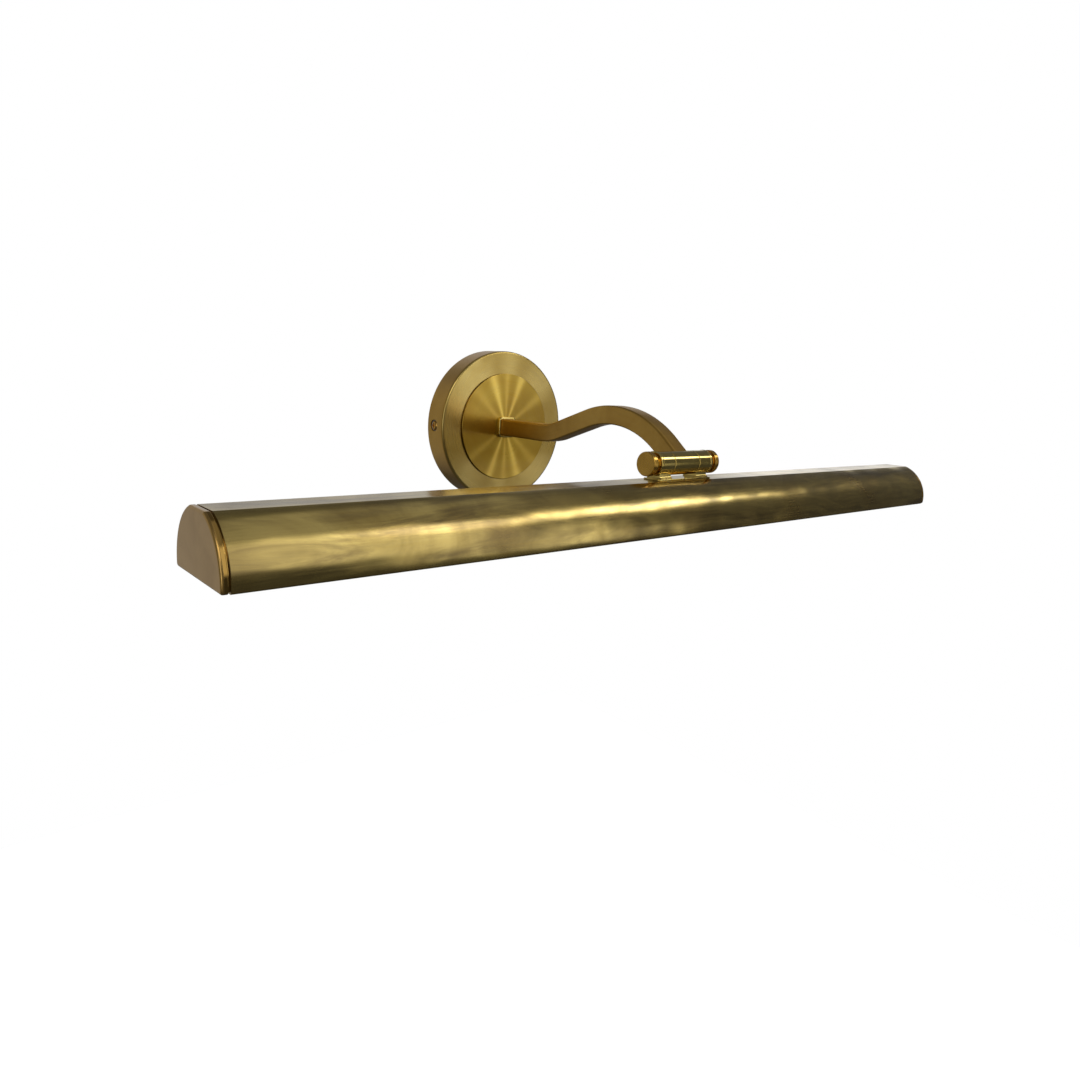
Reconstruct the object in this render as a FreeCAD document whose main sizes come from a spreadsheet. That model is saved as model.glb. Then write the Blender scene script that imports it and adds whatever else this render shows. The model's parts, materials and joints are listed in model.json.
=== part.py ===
import FreeCAD, Part
import math
import os
from types import SimpleNamespace

import Sketcher

# Wall-mounted picture light. Millimetres, +Z up, +X along the shade, the wall is the plane Y = 0 and the
# light stands out from it towards -Y. The origin is the middle of the wall bracket's back.

Vector = FreeCAD.Vector
Rotation = FreeCAD.Rotation

dimensions = {
    "cutMargin": 1.0,  # how far a cutting tool runs past a piece
    # wall plate
    "plateRadius": 60.0,
    "plateDepth": 20.5,
    "plateWall": 1.2,
    "plateEdge": 1.8,  # rounding of the front rim
    "discRadius": 42.5,
    "discThickness": 1.6,
    "discEdge": 0.5,
    "rimHoleRadius": 4.5,
    "rimHoleDepth": 8.5,  # distance of the side screws from the wall
    # wall bracket
    "strapThickness": 2.0,
    "strapWidth": 20.0,
    "tabDepth": 14.0,
    "tabGap": 1.8,  # between a tab and the inside of the rim
    "slotInset": 14.0,  # from a tab's outer face to the middle of its slot
    "slotRadius": 2.5,
    "slotLength": 14.0,
    "grommetRadius": 6.5,
    "grommetBore": 4.0,
    "grommetFlange": 9.0,
    "grommetLip": 1.5,
    "tabThreadRadius": 2.0,
    "screwGap": 0.05,  # between a screw and the hole it is turned into
    "sideHeadRadius": 3.4,
    "sideHeadHeight": 2.4,
    "earthScrewX": 23.0,
    "earthScrewRadius": 2.0,
    "earthHeadRadius": 3.6,
    "earthHeadHeight": 2.4,
    "earthWasherRadius": 4.6,
    "earthWasherThickness": 0.8,
    # terminal block in the wall plate
    "blockStartX": 17.0,
    "blockWidth": 14.0,
    "blockHeight": 26.0,
    "blockDepth": 12.5,
    "poleSpacing": 8.5,
    "poleBore": 1.6,
    "poleScrewRadius": 1.8,
    "poleScrewInset": 3.6,
    "poleScrewHeight": 3.0,
    "blockScrewRadius": 1.3,
    "blockScrewHeadRadius": 1.9,
    "blockScrewHeadHeight": 1.6,
    # arm
    "armWidth": 13.0,
    "armWall": 1.2,
    "armCorner": 1.5,
    "armBendOneReach": 82.4,
    "armBendOneRadius": 52.0,
    "armBendTwoReach": 161.2,
    "armBendTwoRise": 27.8,
    "armBendTwoRadius": 73.0,
    "collarMargin": 1.7,
    "collarDepth": 3.0,
    "collarCorner": 3.0,
    "stemRadius": 5.0,
    "stemBore": 3.6,
    "stemHeadLength": 8.0,
    "stemTail": 8.0,  # how far the stem reaches into the wall plate
    "stemGap": 0.15,
    "washerRadius": 9.0,
    "washerThickness": 0.8,
    "nutFlats": 14.0,
    "nutHeight": 4.0,
    # leads
    "leadRadius": 2.0,
    "leadDepth": 7.2,  # distance of the lead from the wall inside the plate
    "leadStartX": 8.6,
    "leadBend": 5.0,
    "coreRadius": 0.85,
    "coreSpacing": 1.8,
    "coreBend": 1.6,
    "coreEntry": 2.0,  # how far a core reaches into its pole
    "leadStop": 0.5,  # how far the lead in the arm ends before the hinge axis
    # hinge
    "hingeReach": 205.0,
    "hingeDrop": 7.9,
    "barrelRadius": 7.7,
    "barrelHalf": 11.8,
    "barrelEdge": 0.3,
    "pinRadius": 4.2,
    "pinBore": 3.0,
    "runningGap": 0.05,
    "frictionThickness": 0.4,
    "knuckleEnd": 23.0,
    "ringThickness": 2.2,
    "ringProud": 0.2,  # how far a spacer ring stands past the barrel's round
    "grooveRadius": 6.0,
    "grooveLength": 3.0,
    "capLength": 3.8,
    "capEdge": 0.5,
    "capThread": 1.4,  # how far the pin is turned into a cap
    "footHalfWidth": 4.6,
    "footHeight": 1.6,
    "footFlangeHalfWidth": 6.0,
    "footFlangeHeight": 0.7,
    "hingePlateHalf": 26.0,
    "hingePlateHalfWidth": 6.6,
    "hingePlateThickness": 1.0,
    "hingePlateCorner": 1.5,
    "hingeScrewX": 20.7,
    "hingeScrewRadius": 1.5,
    "hingeScrewDepth": 3.8,
    "hingeScrewHeadRadius": 2.5,
    "hingeScrewHeadHeight": 1.8,
    "leadHoleX": 16.0,
    "leadHoleGap": 0.4,
    "pinLeadGap": 1.0,
    "pinWindowDrop": 0.9,  # how far the pin's window is cut past the middle
    # shade
    "shadeHalf": 300.0,
    "shadeRadius": 28.2,
    "shadeWall": 0.9,
    "shadeFlatHalf": 9.0,
    "shadeSkirt": 3.5,  # how far the sides reach below the centre of the round
    "shadeLip": 5.0,
    "endCapThickness": 3.0,
    "endCapEdge": 1.0,
    "endCapGap": 0.9,
    "spigotThickness": 1.2,
    "spigotDepth": 8.0,
    "spigotGap": 0.1,
    "earWidth": 5.2,
    "earHeight": 5.0,
    "lipScrewRadius": 1.3,
    "lipScrewHeadRadius": 2.2,
    "lipScrewLength": 4.0,
    "reflectorThickness": 0.6,
    "reflectorFlatHalf": 8.0,
    "reflectorFootInset": 1.382,  # from a lip's inner edge to the fold of the reflector's foot
    "reflectorFootLength": 3.6,
    "reflectorEndGap": 1.5,
    # lamps and their holders
    "glassRadius": 12.5,
    "glassWall": 0.8,
    "glassGap": 2.8,  # between the glass and the reflector above it
    "glassNeck": 6.2,
    "glassLength": 63.0,
    "shoulderLength": 9.0,
    "capRadius": 6.95,
    "capTip": 2.4,
    "capTipHeight": 1.0,
    "capConeHeight": 2.0,
    "capBodyLength": 19.0,
    "bracketX": 148.0,
    "bracketThickness": 1.2,
    "bracketTopHalf": 4.2,
    "bracketBaseHalf": 8.6,
    "bracketTopHeight": 6.6,
    "nippleRadius": 5.0,
    "nippleBore": 3.6,
    "nippleEngage": 4.5,
    "nippleNutFlats": 13.0,
    "nippleNutHeight": 3.0,
    "holderRadius": 11.0,
    "holderEdge": 1.5,
    "holderLength": 31.0,
    "holderFloor": 9.0,
    "holderBore": 8.2,
    "sleeveWall": 0.4,
    "sleeveGap": 0.1,
    "sleeveLength": 15.0,
    "contactHeight": 1.0,
    "filamentLength": 34.0,
    "filamentRadius": 0.45,
    "filamentPostRadius": 0.3,
    "filamentStemRadius": 2.2,
    "filamentStemLength": 12.0,
    # wiring of the shade
    "shadeBlockStartX": 27.0,
    "shadeBlockWidth": 16.0,
    "shadeBlockHalf": 7.2,
    "shadeBlockHeight": 10.0,
    "shadeBlockScrewRadius": 1.5,
    "shadeBlockScrewHeight": 0.6,
    "shadeLeadLevel": 5.6,  # below the reflector's flat
    "lampLeadRadius": 0.9,
    "lampLeadLevel": 1.3,
    "lampLeadSpacing": 6.0,
    "lampLeadBend": 2.2,
    "lampLeadEntry": 6.4,  # from the holder's floor end, along the holder
    "jumperEntry": 2.6,
    "jumperLevel": 4.0,
    "jumperBend": 1.6,
}

doc = FreeCAD.newDocument("PictureLight")
sheet = doc.addObject("Spreadsheet::Sheet", "Size")
for row, (name, number) in enumerate(dimensions.items(), 1):
    sheet.set(f"A{row}", name)
    sheet.set(f"B{row}", str(number))
    sheet.setAlias(f"B{row}", name)
doc.recompute()


tolerance = 1e-4


class Length:
    """A size that carries its formula for the document as well as its value in millimetres."""

    def __init__(self, formula, value):
        self.formula = formula
        self.value = value

    def __add__(self, other):
        other = asLength(other)
        return Length(f"({self.formula} + {other.formula})", self.value + other.value)

    def __sub__(self, other):
        other = asLength(other)
        return Length(f"({self.formula} - {other.formula})", self.value - other.value)

    def __mul__(self, other):
        other = asLength(other)
        return Length(f"({self.formula} * {other.formula})", self.value * other.value)

    def __truediv__(self, other):
        other = asLength(other)
        return Length(f"({self.formula} / {other.formula})", self.value / other.value)

    def __rsub__(self, other):
        return asLength(other) - self

    def __neg__(self):
        return asLength(0) - self

    __radd__ = __add__
    __rmul__ = __mul__


def asLength(size):
    """Gives a plain number as a Length."""
    if isinstance(size, Length):
        return size
    return Length(f"{float(size)}", float(size))


def root(size):
    """The square root of a size."""
    return Length(f"sqrt({size.formula})", math.sqrt(size.value))


def chordHalf(radius, rise):
    """Half the width of a circle at a height above its centre."""
    return root(radius * radius - rise * rise)


s = SimpleNamespace(**{name: Length(f"Size.{name}", float(sheet.get(name))) for name in dimensions})
parts = {}

# turns that lay a piece's own Z along a direction
towards = {
    "X": Rotation(Vector(0, 1, 0), 90),
    "-X": Rotation(Vector(0, 1, 0), -90),
    "-Y": Rotation(Vector(1, 0, 0), 90),
    "Y": Rotation(Vector(1, 0, 0), -90),
    "Z": Rotation(),
    "-Z": Rotation(Vector(1, 0, 0), 180),
}


def bind(item, **sizes):
    """Ties properties of a document object to sizes."""
    for name, size in sizes.items():
        item.setExpression(name, asLength(size).formula)
    return item


def place(item, x, y, z, direction="Z"):
    """Moves an object's own origin to a point and lays its own Z along a direction."""
    item.Placement = FreeCAD.Placement(Vector(), towards[direction])
    for axis, size in zip("xyz", (x, y, z)):
        item.setExpression(f"Placement.Base.{axis}", asLength(size).formula)
    return item


def named(label, item):
    """Registers a finished piece under its plain name."""
    item.Label = label
    parts[label] = item
    return item


def block(name, spanX, spanY, spanZ):
    """A box between two values on each axis."""
    item = doc.addObject("Part::Box", name)
    sides = [asLength(high) - low for low, high in (spanX, spanY, spanZ)]
    bind(item, Length=sides[0], Width=sides[1], Height=sides[2])
    return place(item, spanX[0], spanY[0], spanZ[0])


def rod(name, radius, length, x, y, z, direction="Z"):
    """A cylinder from a point along a direction."""
    item = bind(doc.addObject("Part::Cylinder", name), Radius=radius, Height=length)
    return place(item, x, y, z, direction)


def hexagon(name, flats, height, x, y, z, direction):
    """A hexagonal prism, by its width across flats."""
    item = doc.addObject("Part::Prism", name)
    item.Polygon = 6
    bind(item, Circumradius=flats / math.sqrt(3), Height=height)
    return place(item, x, y, z, direction)


def fuse(name, *pieces):
    """One solid from several."""
    item = doc.addObject("Part::MultiFuse", name)
    item.Shapes = list(pieces)
    item.Refine = True
    return item


def cut(name, base, *tools):
    """A piece with others taken out of it."""
    item = doc.addObject("Part::Cut", name)
    item.Base = base
    item.Tool = tools[0] if len(tools) == 1 else fuse(f"{name}Tools", *tools)
    return item


def group(name, pieces):
    """Separate equal solids that share one name."""
    item = doc.addObject("Part::Compound", name)
    item.Links = list(pieces)
    return item


def addLoop(sketch, corners, arcs):
    """Draws a closed loop of constrained corners; a side is an arc where arcs gives its radius, bulging to
    the right of its direction, or to the left where the radius is given as ("left", radius)."""
    points = [Vector(asLength(u).value, asLength(v).value, 0) for u, v in corners]
    ends = []
    for index, start in enumerate(points):
        end = points[(index + 1) % len(points)]
        if index not in arcs:
            ends.append((sketch.addGeometry(Part.LineSegment(start, end)), 1, 2))
            continue
        left = isinstance(arcs[index], tuple)
        radius = arcs[index][1] if left else arcs[index]
        first, last = (end, start) if left else (start, end)
        chord = last - first
        reach = math.sqrt(max(radius.value ** 2 - chord.Length ** 2 / 4, 0))
        side = Vector(-chord.y, chord.x, 0) / chord.Length
        centre = (first + last) / 2 + side * reach
        angles = [math.atan2(point.y - centre.y, point.x - centre.x) for point in (first, last)]
        circle = Part.Circle(centre, Vector(0, 0, 1), radius.value)
        number = sketch.addGeometry(Part.ArcOfCircle(circle, angles[0], angles[1]))
        ends.append((number, 2, 1) if left else (number, 1, 2))
        size = sketch.addConstraint(Sketcher.Constraint("Radius", number, radius.value))
        sketch.setExpression(f"Constraints[{size}]", radius.formula)
    for index, (number, start, end) in enumerate(ends):
        following = ends[(index + 1) % len(ends)]
        sketch.addConstraint(Sketcher.Constraint("Coincident", number, end, following[0], following[1]))
        for kind, size in zip(("DistanceX", "DistanceY"), corners[index]):
            size = asLength(size)
            mark = sketch.addConstraint(Sketcher.Constraint(kind, -1, 1, number, start, size.value))
            sketch.setExpression(f"Constraints[{mark}]", size.formula)


def outline(body, plane, loops):
    """A sketch of closed loops on one of the body's own planes."""
    sketch = body.newObject("Sketcher::SketchObject", f"{body.Name}Outline")
    planes = [item for item in body.Origin.OriginFeatures if item.Role == plane]
    sketch.AttachmentSupport = (planes[0], [""])
    sketch.MapMode = "FlatFace"
    for corners, arcs in loops:
        addLoop(sketch, corners, arcs)
    return sketch


def turned(name, corners, x, y, z, direction, arcs=None):
    """A lathe-turned piece: corners are (radius, height) and its axis lies along a direction."""
    body = doc.addObject("PartDesign::Body", name)
    spin = body.newObject("PartDesign::Revolution", f"{name}Turning")
    spin.Profile = outline(body, "XZ_Plane", [(corners, arcs or {})])
    spin.ReferenceAxis = (spin.Profile[0], ["V_Axis"])
    spin.Angle = 360
    body.Tip = spin
    return place(body, x, y, z, direction)


def extruded(name, plane, loops, length, x=0, y=0, z=0, symmetric=False):
    """A piece of constant section."""
    body = doc.addObject("PartDesign::Body", name)
    pad = body.newObject("PartDesign::Pad", f"{name}Pad")
    pad.Profile = outline(body, plane, loops)
    pad.SideType = "Symmetric" if symmetric else "One side"
    bind(pad, Length=length)
    body.Tip = pad
    return place(body, x, y, z)


def ring(name, inner, outer, height, x, y, z, direction):
    """A plain washer."""
    return turned(name, [(inner, 0), (outer, 0), (outer, height), (inner, height)], x, y, z, direction)


def screw(name, headRadius, headHeight, radius, length, x, y, z, direction):
    """A pan-head screw, pointing along a direction, with its head's underside at the given point."""
    edge = headHeight / 3
    corners = [
        (0, -headHeight),
        (headRadius - edge, -headHeight),
        (headRadius, edge - headHeight),
        (headRadius, 0),
        (radius, 0),
        (radius, length),
        (0, length),
    ]
    return turned(name, corners, x, y, z, direction, {1: edge})


def roundedSquare(half, corner):
    """The corners and arcs of a square with rounded corners, centred on the origin."""
    flat = half - corner
    corners = [
        (flat, -half), (half, -flat), (half, flat), (flat, half),
        (-flat, half), (-half, flat), (-half, -flat), (-flat, -half),
    ]
    return corners, {0: corner, 2: corner, 4: corner, 6: corner}


def route(points, bends):
    """A wire of straight runs joined by tangent arcs, one bend radius for each inner point."""
    edges = []
    start = points[0]
    for index, radius in enumerate(bends, 1):
        before = (points[index] - points[index - 1]).normalize()
        after = (points[index + 1] - points[index]).normalize()
        turn = before.getAngle(after)
        reach = radius * math.tan(turn / 2)
        first = points[index] - before * reach
        last = points[index] + after * reach
        inward = (after - before).normalize()
        middle = points[index] + inward * (radius / math.cos(turn / 2) - radius)
        edges.append(Part.LineSegment(start, first).toShape())
        edges.append(Part.Arc(first, middle, last).toShape())
        start = last
    edges.append(Part.LineSegment(start, points[-1]).toShape())
    return Part.Wire(edges)


def lead(name, points, bends, radius):
    """A round lead along a route."""
    path = route(points, bends)
    section = Part.Wire([Part.Circle(points[0], points[1] - points[0], radius).toShape()])
    item = doc.addObject("Part::Feature", name)
    item.Shape = path.makePipeShell([section], True, False)
    return item


# ---- places that several pieces share

plateInner = s.plateRadius - s.plateWall
plateFloor = s.plateDepth - s.plateWall
discFace = s.plateDepth + s.discThickness
tabFace = plateInner - s.tabGap
slotX = tabFace - s.slotInset
stemHole = s.stemRadius + s.stemGap
hingeY = -s.hingeReach
hingeZ = -s.hingeDrop
knuckleStart = s.barrelHalf + s.runningGap + s.frictionThickness
ringEnd = s.knuckleEnd + s.ringThickness
capFace = ringEnd + s.grooveLength
pinEnd = capFace + s.capThread
pinHole = s.pinRadius + s.runningGap
footBase = hingeZ - s.barrelRadius - s.footHeight
shadeTop = footBase - s.hingePlateThickness
flatRise = chordHalf(s.shadeRadius, s.shadeFlatHalf)
shadeCentre = shadeTop - flatRise
shadeInner = s.shadeRadius - s.shadeWall
shadeUnder = shadeTop - s.shadeWall
shadeBottom = shadeCentre - s.shadeSkirt
lipEdge = chordHalf(s.shadeRadius, s.shadeSkirt) - s.shadeLip
shellHalf = s.shadeHalf - s.endCapThickness - s.endCapGap
reflectorUnder = shadeUnder - s.reflectorThickness
lampZ = reflectorUnder - s.glassGap - s.glassRadius
leadHoleRadius = s.leadRadius + s.leadHoleGap


# ---- wall plate and bracket


def makeBracket():
    """Steel strap with a slot near each end, bent tabs for the side screws and a hole for the cable."""
    depth, thick, half = s.tabDepth, s.strapThickness, tabFace
    corners = [
        (-half, 0), (-half, -depth), (thick - half, -depth), (thick - half, -thick),
        (half - thick, -thick), (half - thick, -depth), (half, -depth), (half, 0),
    ]
    strap = extruded("strap", "XY_Plane", [(corners, {})], s.strapWidth, symmetric=True)
    margin = s.cutMargin
    through = thick + margin * 2
    tools = [rod("cableHole", s.grommetRadius, through, 0, margin, 0, "-Y")]
    tools.append(rod("earthHole", s.earthScrewRadius + s.screwGap, through, -s.earthScrewX, margin, 0, "-Y"))
    for side in (-1, 1):
        run = s.slotLength / 2 - s.slotRadius
        middle = slotX * side
        for end in (-1, 1):
            tools.append(rod("slotEnd", s.slotRadius, through, middle + run * end, margin, 0, "-Y"))
        spanX, spanZ = (middle - run, middle + run), (-s.slotRadius, s.slotRadius)
        tools.append(block("slot", spanX, (margin - through, margin), spanZ))
        height = s.poleSpacing / 2 * side
        middleX = s.blockStartX + s.blockWidth / 2
        tools.append(rod("blockHole", s.blockScrewRadius + s.screwGap, through, middleX, margin, height,
                         "-Y"))
    tools.append(rod("tabHoles", s.tabThreadRadius + s.screwGap, (half + margin) * 2, -half - margin,
                     -s.rimHoleDepth, 0, "X"))
    named("wall_bracket", cut("bracket", strap, *tools))


def makeBackplate():
    """Spun drum, open towards the wall, with a hole in its rim for each side screw."""
    rim, wall, depth, edge = s.plateRadius, s.plateWall, s.plateDepth, s.plateEdge
    corners = [
        (rim - wall, 0), (rim, 0), (rim, depth - edge), (rim - edge, depth),
        (stemHole, depth), (stemHole, plateFloor), (rim - edge, plateFloor), (rim - wall, depth - edge),
    ]
    drum = turned("drum", corners, 0, 0, 0, "-Y", {2: edge, 6: ("left", edge - wall)})
    start = rim + s.cutMargin
    holes = rod("rimHoles", s.rimHoleRadius, start * 2, -start, -s.rimHoleDepth, 0, "X")
    named("backplate", cut("backplateCut", drum, holes))


def makeFaceDisc():
    """Spun disc on the front of the drum."""
    reach, edge, back, front = s.discRadius, s.discEdge, s.plateDepth, discFace
    corners = [
        (stemHole, back), (reach, back), (reach, front - edge), (reach - edge, front), (stemHole, front),
    ]
    named("face_disc", turned("disc", corners, 0, 0, 0, "-Y", {2: edge}))


def makeSideScrews():
    """Screws through the tabs, whose heads stand in the rim's holes."""
    screws = []
    length = s.strapThickness + s.tabGap
    for side, direction in ((-1, "X"), (1, "-X")):
        underHead = (tabFace + s.tabGap / 2) * side
        screws.append(screw("sideScrew", s.sideHeadRadius, s.sideHeadHeight, s.tabThreadRadius, length,
                            underHead, -s.rimHoleDepth, 0, direction))
    named("side_screws", group("sideScrews", screws))


def makeGrommet():
    """Bush in the bracket's cable hole, flush with the wall."""
    front = s.strapThickness + s.grommetLip
    corners = [
        (s.grommetBore, 0), (s.grommetRadius, 0), (s.grommetRadius, s.strapThickness),
        (s.grommetFlange, s.strapThickness), (s.grommetFlange, front), (s.grommetBore, front),
    ]
    named("cable_grommet", turned("grommet", corners, 0, 0, 0, "-Y"))


def makeEarthPoint():
    """Earth screw with its cup washer on the strap."""
    washerFace = s.strapThickness + s.earthWasherThickness
    named("earth_washer", ring("earthWasher", s.earthScrewRadius + s.screwGap, s.earthWasherRadius,
                               s.earthWasherThickness, -s.earthScrewX, -s.strapThickness, 0, "-Y"))
    named("earth_screw", screw("earthScrew", s.earthHeadRadius, s.earthHeadHeight, s.earthScrewRadius,
                               washerFace, -s.earthScrewX, -washerFace, 0, "Y"))


def makeTerminalBlock():
    """Three-pole connector on the strap with its clamping and fixing screws."""
    start, end = s.blockStartX, s.blockStartX + s.blockWidth
    front = s.strapThickness + s.blockDepth
    half = s.blockHeight / 2
    housing = block("housing", (start, end), (-front, -s.strapThickness), (-half, half))
    tools = []
    poleScrews = []
    for pole in (-1, 0, 1):
        level = s.poleSpacing * pole
        tools.append(rod("poleBore", s.poleBore, s.blockWidth + s.cutMargin * 2, start - s.cutMargin,
                         -s.leadDepth, level, "X"))
        for screwX in (start + s.poleScrewInset, end - s.poleScrewInset):
            depth = front - s.leadDepth
            well = s.poleScrewRadius + s.screwGap
            tools.append(rod("poleWell", well, depth, screwX, -s.leadDepth, level, "-Y"))
            top = -s.leadDepth - s.poleBore
            poleScrews.append(rod("poleScrew", s.poleScrewRadius, s.poleScrewHeight, screwX, top, level,
                                  "-Y"))
    fixings = []
    middle = (start + end) / 2
    headBase = front - s.blockScrewHeadHeight
    for side in (-1, 1):
        level = s.poleSpacing / 2 * side
        tools.append(rod("fixingHole", s.blockScrewRadius + s.screwGap, front, middle, 0, level, "-Y"))
        seatDepth = s.blockScrewHeadHeight + s.cutMargin
        tools.append(rod("fixingSeat", s.blockScrewHeadRadius + s.screwGap, seatDepth, middle, -headBase,
                         level, "-Y"))
        shank = rod("fixingShank", s.blockScrewRadius, headBase, middle, 0, level, "-Y")
        head = rod("fixingHead", s.blockScrewHeadRadius, s.blockScrewHeadHeight, middle, -headBase, level,
                   "-Y")
        fixings.append(fuse("fixing", shank, head))
    named("terminal_block", cut("terminalBlock", housing, *tools))
    named("terminal_screws", group("terminalScrews", poleScrews))
    named("block_screws", group("blockScrews", fixings))


# ---- arm


def armPoints():
    """The arm's middle line before its bends are rounded: level, up to its crest and down to the hinge."""
    return [
        Vector(0, -discFace.value, 0),
        Vector(0, -s.armBendOneReach.value, 0),
        Vector(0, -s.armBendTwoReach.value, s.armBendTwoRise.value),
        Vector(0, hingeY.value, hingeZ.value),
    ]


armBends = [s.armBendOneRadius.value, s.armBendTwoRadius.value]
armFall = s.hingeDrop + s.armBendTwoRise
armRun = s.hingeReach - s.armBendTwoReach
armSlope = f"atan({armFall.formula} / {armRun.formula})"


def squareWire(half, corner):
    """A square with rounded corners across the start of the arm."""
    level = -discFace.value
    points = [Vector(x * half, level, z * half) for x, z in ((1, -1), (1, 1), (-1, 1), (-1, -1))]
    shape = Part.makePolygon(points + points[:1])
    if not corner:
        return shape
    face = Part.Face(shape)
    solid = face.extrude(Vector(0, 1, 0))
    upright = [edge for edge in solid.Edges if abs(edge.tangentAt(edge.FirstParameter).y) > 0.5]
    rounded = solid.makeFillet(corner, upright)
    ends = [face for face in rounded.Faces if abs(face.CenterOfMass.y - level) < tolerance]
    return ends[0].OuterWire


def towardsArm(item):
    """Lays an object on the hinge axis with its own Z up the end of the arm."""
    slope = math.degrees(math.atan(armFall.value / armRun.value))
    item.Placement = FreeCAD.Placement(Vector(), Rotation(Vector(-1, 0, 0), 90 - slope))
    item.setExpression("Placement.Rotation.Angle", f"90 deg - {armSlope}")
    item.setExpression("Placement.Base.y", hingeY.formula)
    item.setExpression("Placement.Base.z", hingeZ.formula)
    return item


def makeArm():
    """Square tube, bent in two arcs, coped to the barrel it is brazed to."""
    path = route(armPoints(), armBends)
    half = s.armWidth.value / 2
    outer = path.makePipeShell([squareWire(half, s.armCorner.value)], True, False)
    inner = path.makePipeShell([squareWire(half - s.armWall.value, 0)], True, False)
    tube = doc.addObject("Part::Feature", "armTube")
    tube.Shape = outer.cut(inner)
    barrel = rod("armCope", s.barrelRadius, s.barrelHalf * 2, -s.barrelHalf, hingeY, hingeZ, "X")
    named("arm", cut("armCut", tube, barrel))


def makeCollar():
    """Square collar that hides the joint of the arm and the disc."""
    half = s.armWidth / 2
    outer = roundedSquare(half + s.collarMargin, s.collarCorner)
    inner = roundedSquare(half + s.screwGap, s.armCorner)
    named("arm_collar", extruded("collar", "XZ_Plane", [outer, inner], s.collarDepth, y=-discFace))


def makeStem():
    """Hollow stem brazed into the arm, clamped behind the plate by a toothed washer and a nut."""
    half = s.armWidth / 2 - s.armWall
    head = block("stemHead", (-half, half), (-discFace - s.stemHeadLength, -discFace), (-half, half))
    tail = plateFloor - s.stemTail
    shank = rod("stemShank", s.stemRadius, discFace - tail + s.cutMargin, 0, -tail, 0, "-Y")
    bore = rod("stemBoreTool", s.stemBore, discFace + s.stemHeadLength, 0, 0, 0, "-Y")
    named("arm_stem", cut("stem", fuse("stemSolid", head, shank), bore))
    hole = s.stemRadius + s.screwGap
    face = plateFloor - s.washerThickness
    named("stem_washer", ring("stemWasher", hole, s.washerRadius, s.washerThickness, 0, -face, 0, "-Y"))
    back = face - s.nutHeight
    solid = hexagon("stemNutSolid", s.nutFlats, s.nutHeight, 0, -back, 0, "-Y")
    thread = rod("stemNutThread", hole, s.nutHeight + s.cutMargin * 2, 0, s.cutMargin - back, 0, "-Y")
    named("stem_nut", cut("stemNut", solid, thread))


def makeSupplyLead():
    """Sheathed lead from the terminal block through the stem and the arm to the hinge, and its cores."""
    level = -s.leadDepth.value
    bendOne, bendTwo, hinge = armPoints()[1:]
    down = (hinge - bendTwo).normalize()
    stop = hinge - down * s.leadStop.value
    points = [Vector(s.leadStartX.value, level, 0), Vector(0, level, 0), bendOne, bendTwo, stop]
    bends = [s.leadBend.value] + armBends
    named("supply_lead", lead("supplyLead", points, bends, s.leadRadius.value))
    start = s.leadStartX.value
    end = s.blockStartX.value
    for pole, label in ((1, "live_core"), (0, "neutral_core"), (-1, "earth_core")):
        near = s.coreSpacing.value * pole
        far = s.poleSpacing.value * pole
        run = (end - start) / 3
        points = [Vector(start, level, near), Vector(start + run, level, near)]
        points += [Vector(end - run, level, far), Vector(end + s.coreEntry.value, level, far)]
        bends = [s.coreBend.value] * 2
        if not pole:
            points, bends = [points[0], points[-1]], []
        named(label, lead(label, points, bends, s.coreRadius.value))


# ---- hinge


def makeBarrel():
    """Centre barrel, brazed to the arm, with a way in for the lead."""
    edge, half, outer = s.barrelEdge, s.barrelHalf, s.barrelRadius
    corners = [
        (pinHole, 0), (outer - edge, 0), (outer, edge), (outer, half * 2 - edge),
        (outer - edge, half * 2), (pinHole, half * 2),
    ]
    solid = turned("barrelSolid", corners, -half, hingeY, hingeZ, "X")
    way = doc.addObject("Part::Cylinder", "barrelLeadWay")
    bind(way, Radius=leadHoleRadius, Height=outer + s.cutMargin)
    named("hinge_barrel", cut("barrel", solid, towardsArm(way)))


def makePin():
    """Hollow pin with a window towards the arm and a hole down into the shade."""
    corners = [(s.pinBore, 0), (s.pinRadius, 0), (s.pinRadius, pinEnd * 2), (s.pinBore, pinEnd * 2)]
    tube = turned("pinTube", corners, -pinEnd, hingeY, hingeZ, "X")
    half = s.leadRadius + s.pinLeadGap
    reach = s.pinRadius * 2
    window = doc.addObject("Part::Box", "pinWindow")
    towardsArm(bind(window, Length=half * 2, Width=reach * 2, Height=reach + s.pinWindowDrop))
    window.setExpression("Placement.Base.x", (-half).formula)
    drop = s.pinWindowDrop.formula
    across, up = f"{reach.formula} * sin({armSlope})", f"{reach.formula} * cos({armSlope})"
    window.setExpression("Placement.Base.y", f"{hingeY.formula} - {across} - {drop} * cos({armSlope})")
    window.setExpression("Placement.Base.z", f"{hingeZ.formula} + {up} - {drop} * sin({armSlope})")
    hole = rod("pinLeadHole", leadHoleRadius, s.pinRadius + s.cutMargin, s.leadHoleX, hingeY, hingeZ, "-Z")
    named("hinge_pin", cut("pin", tube, window, hole))


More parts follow.
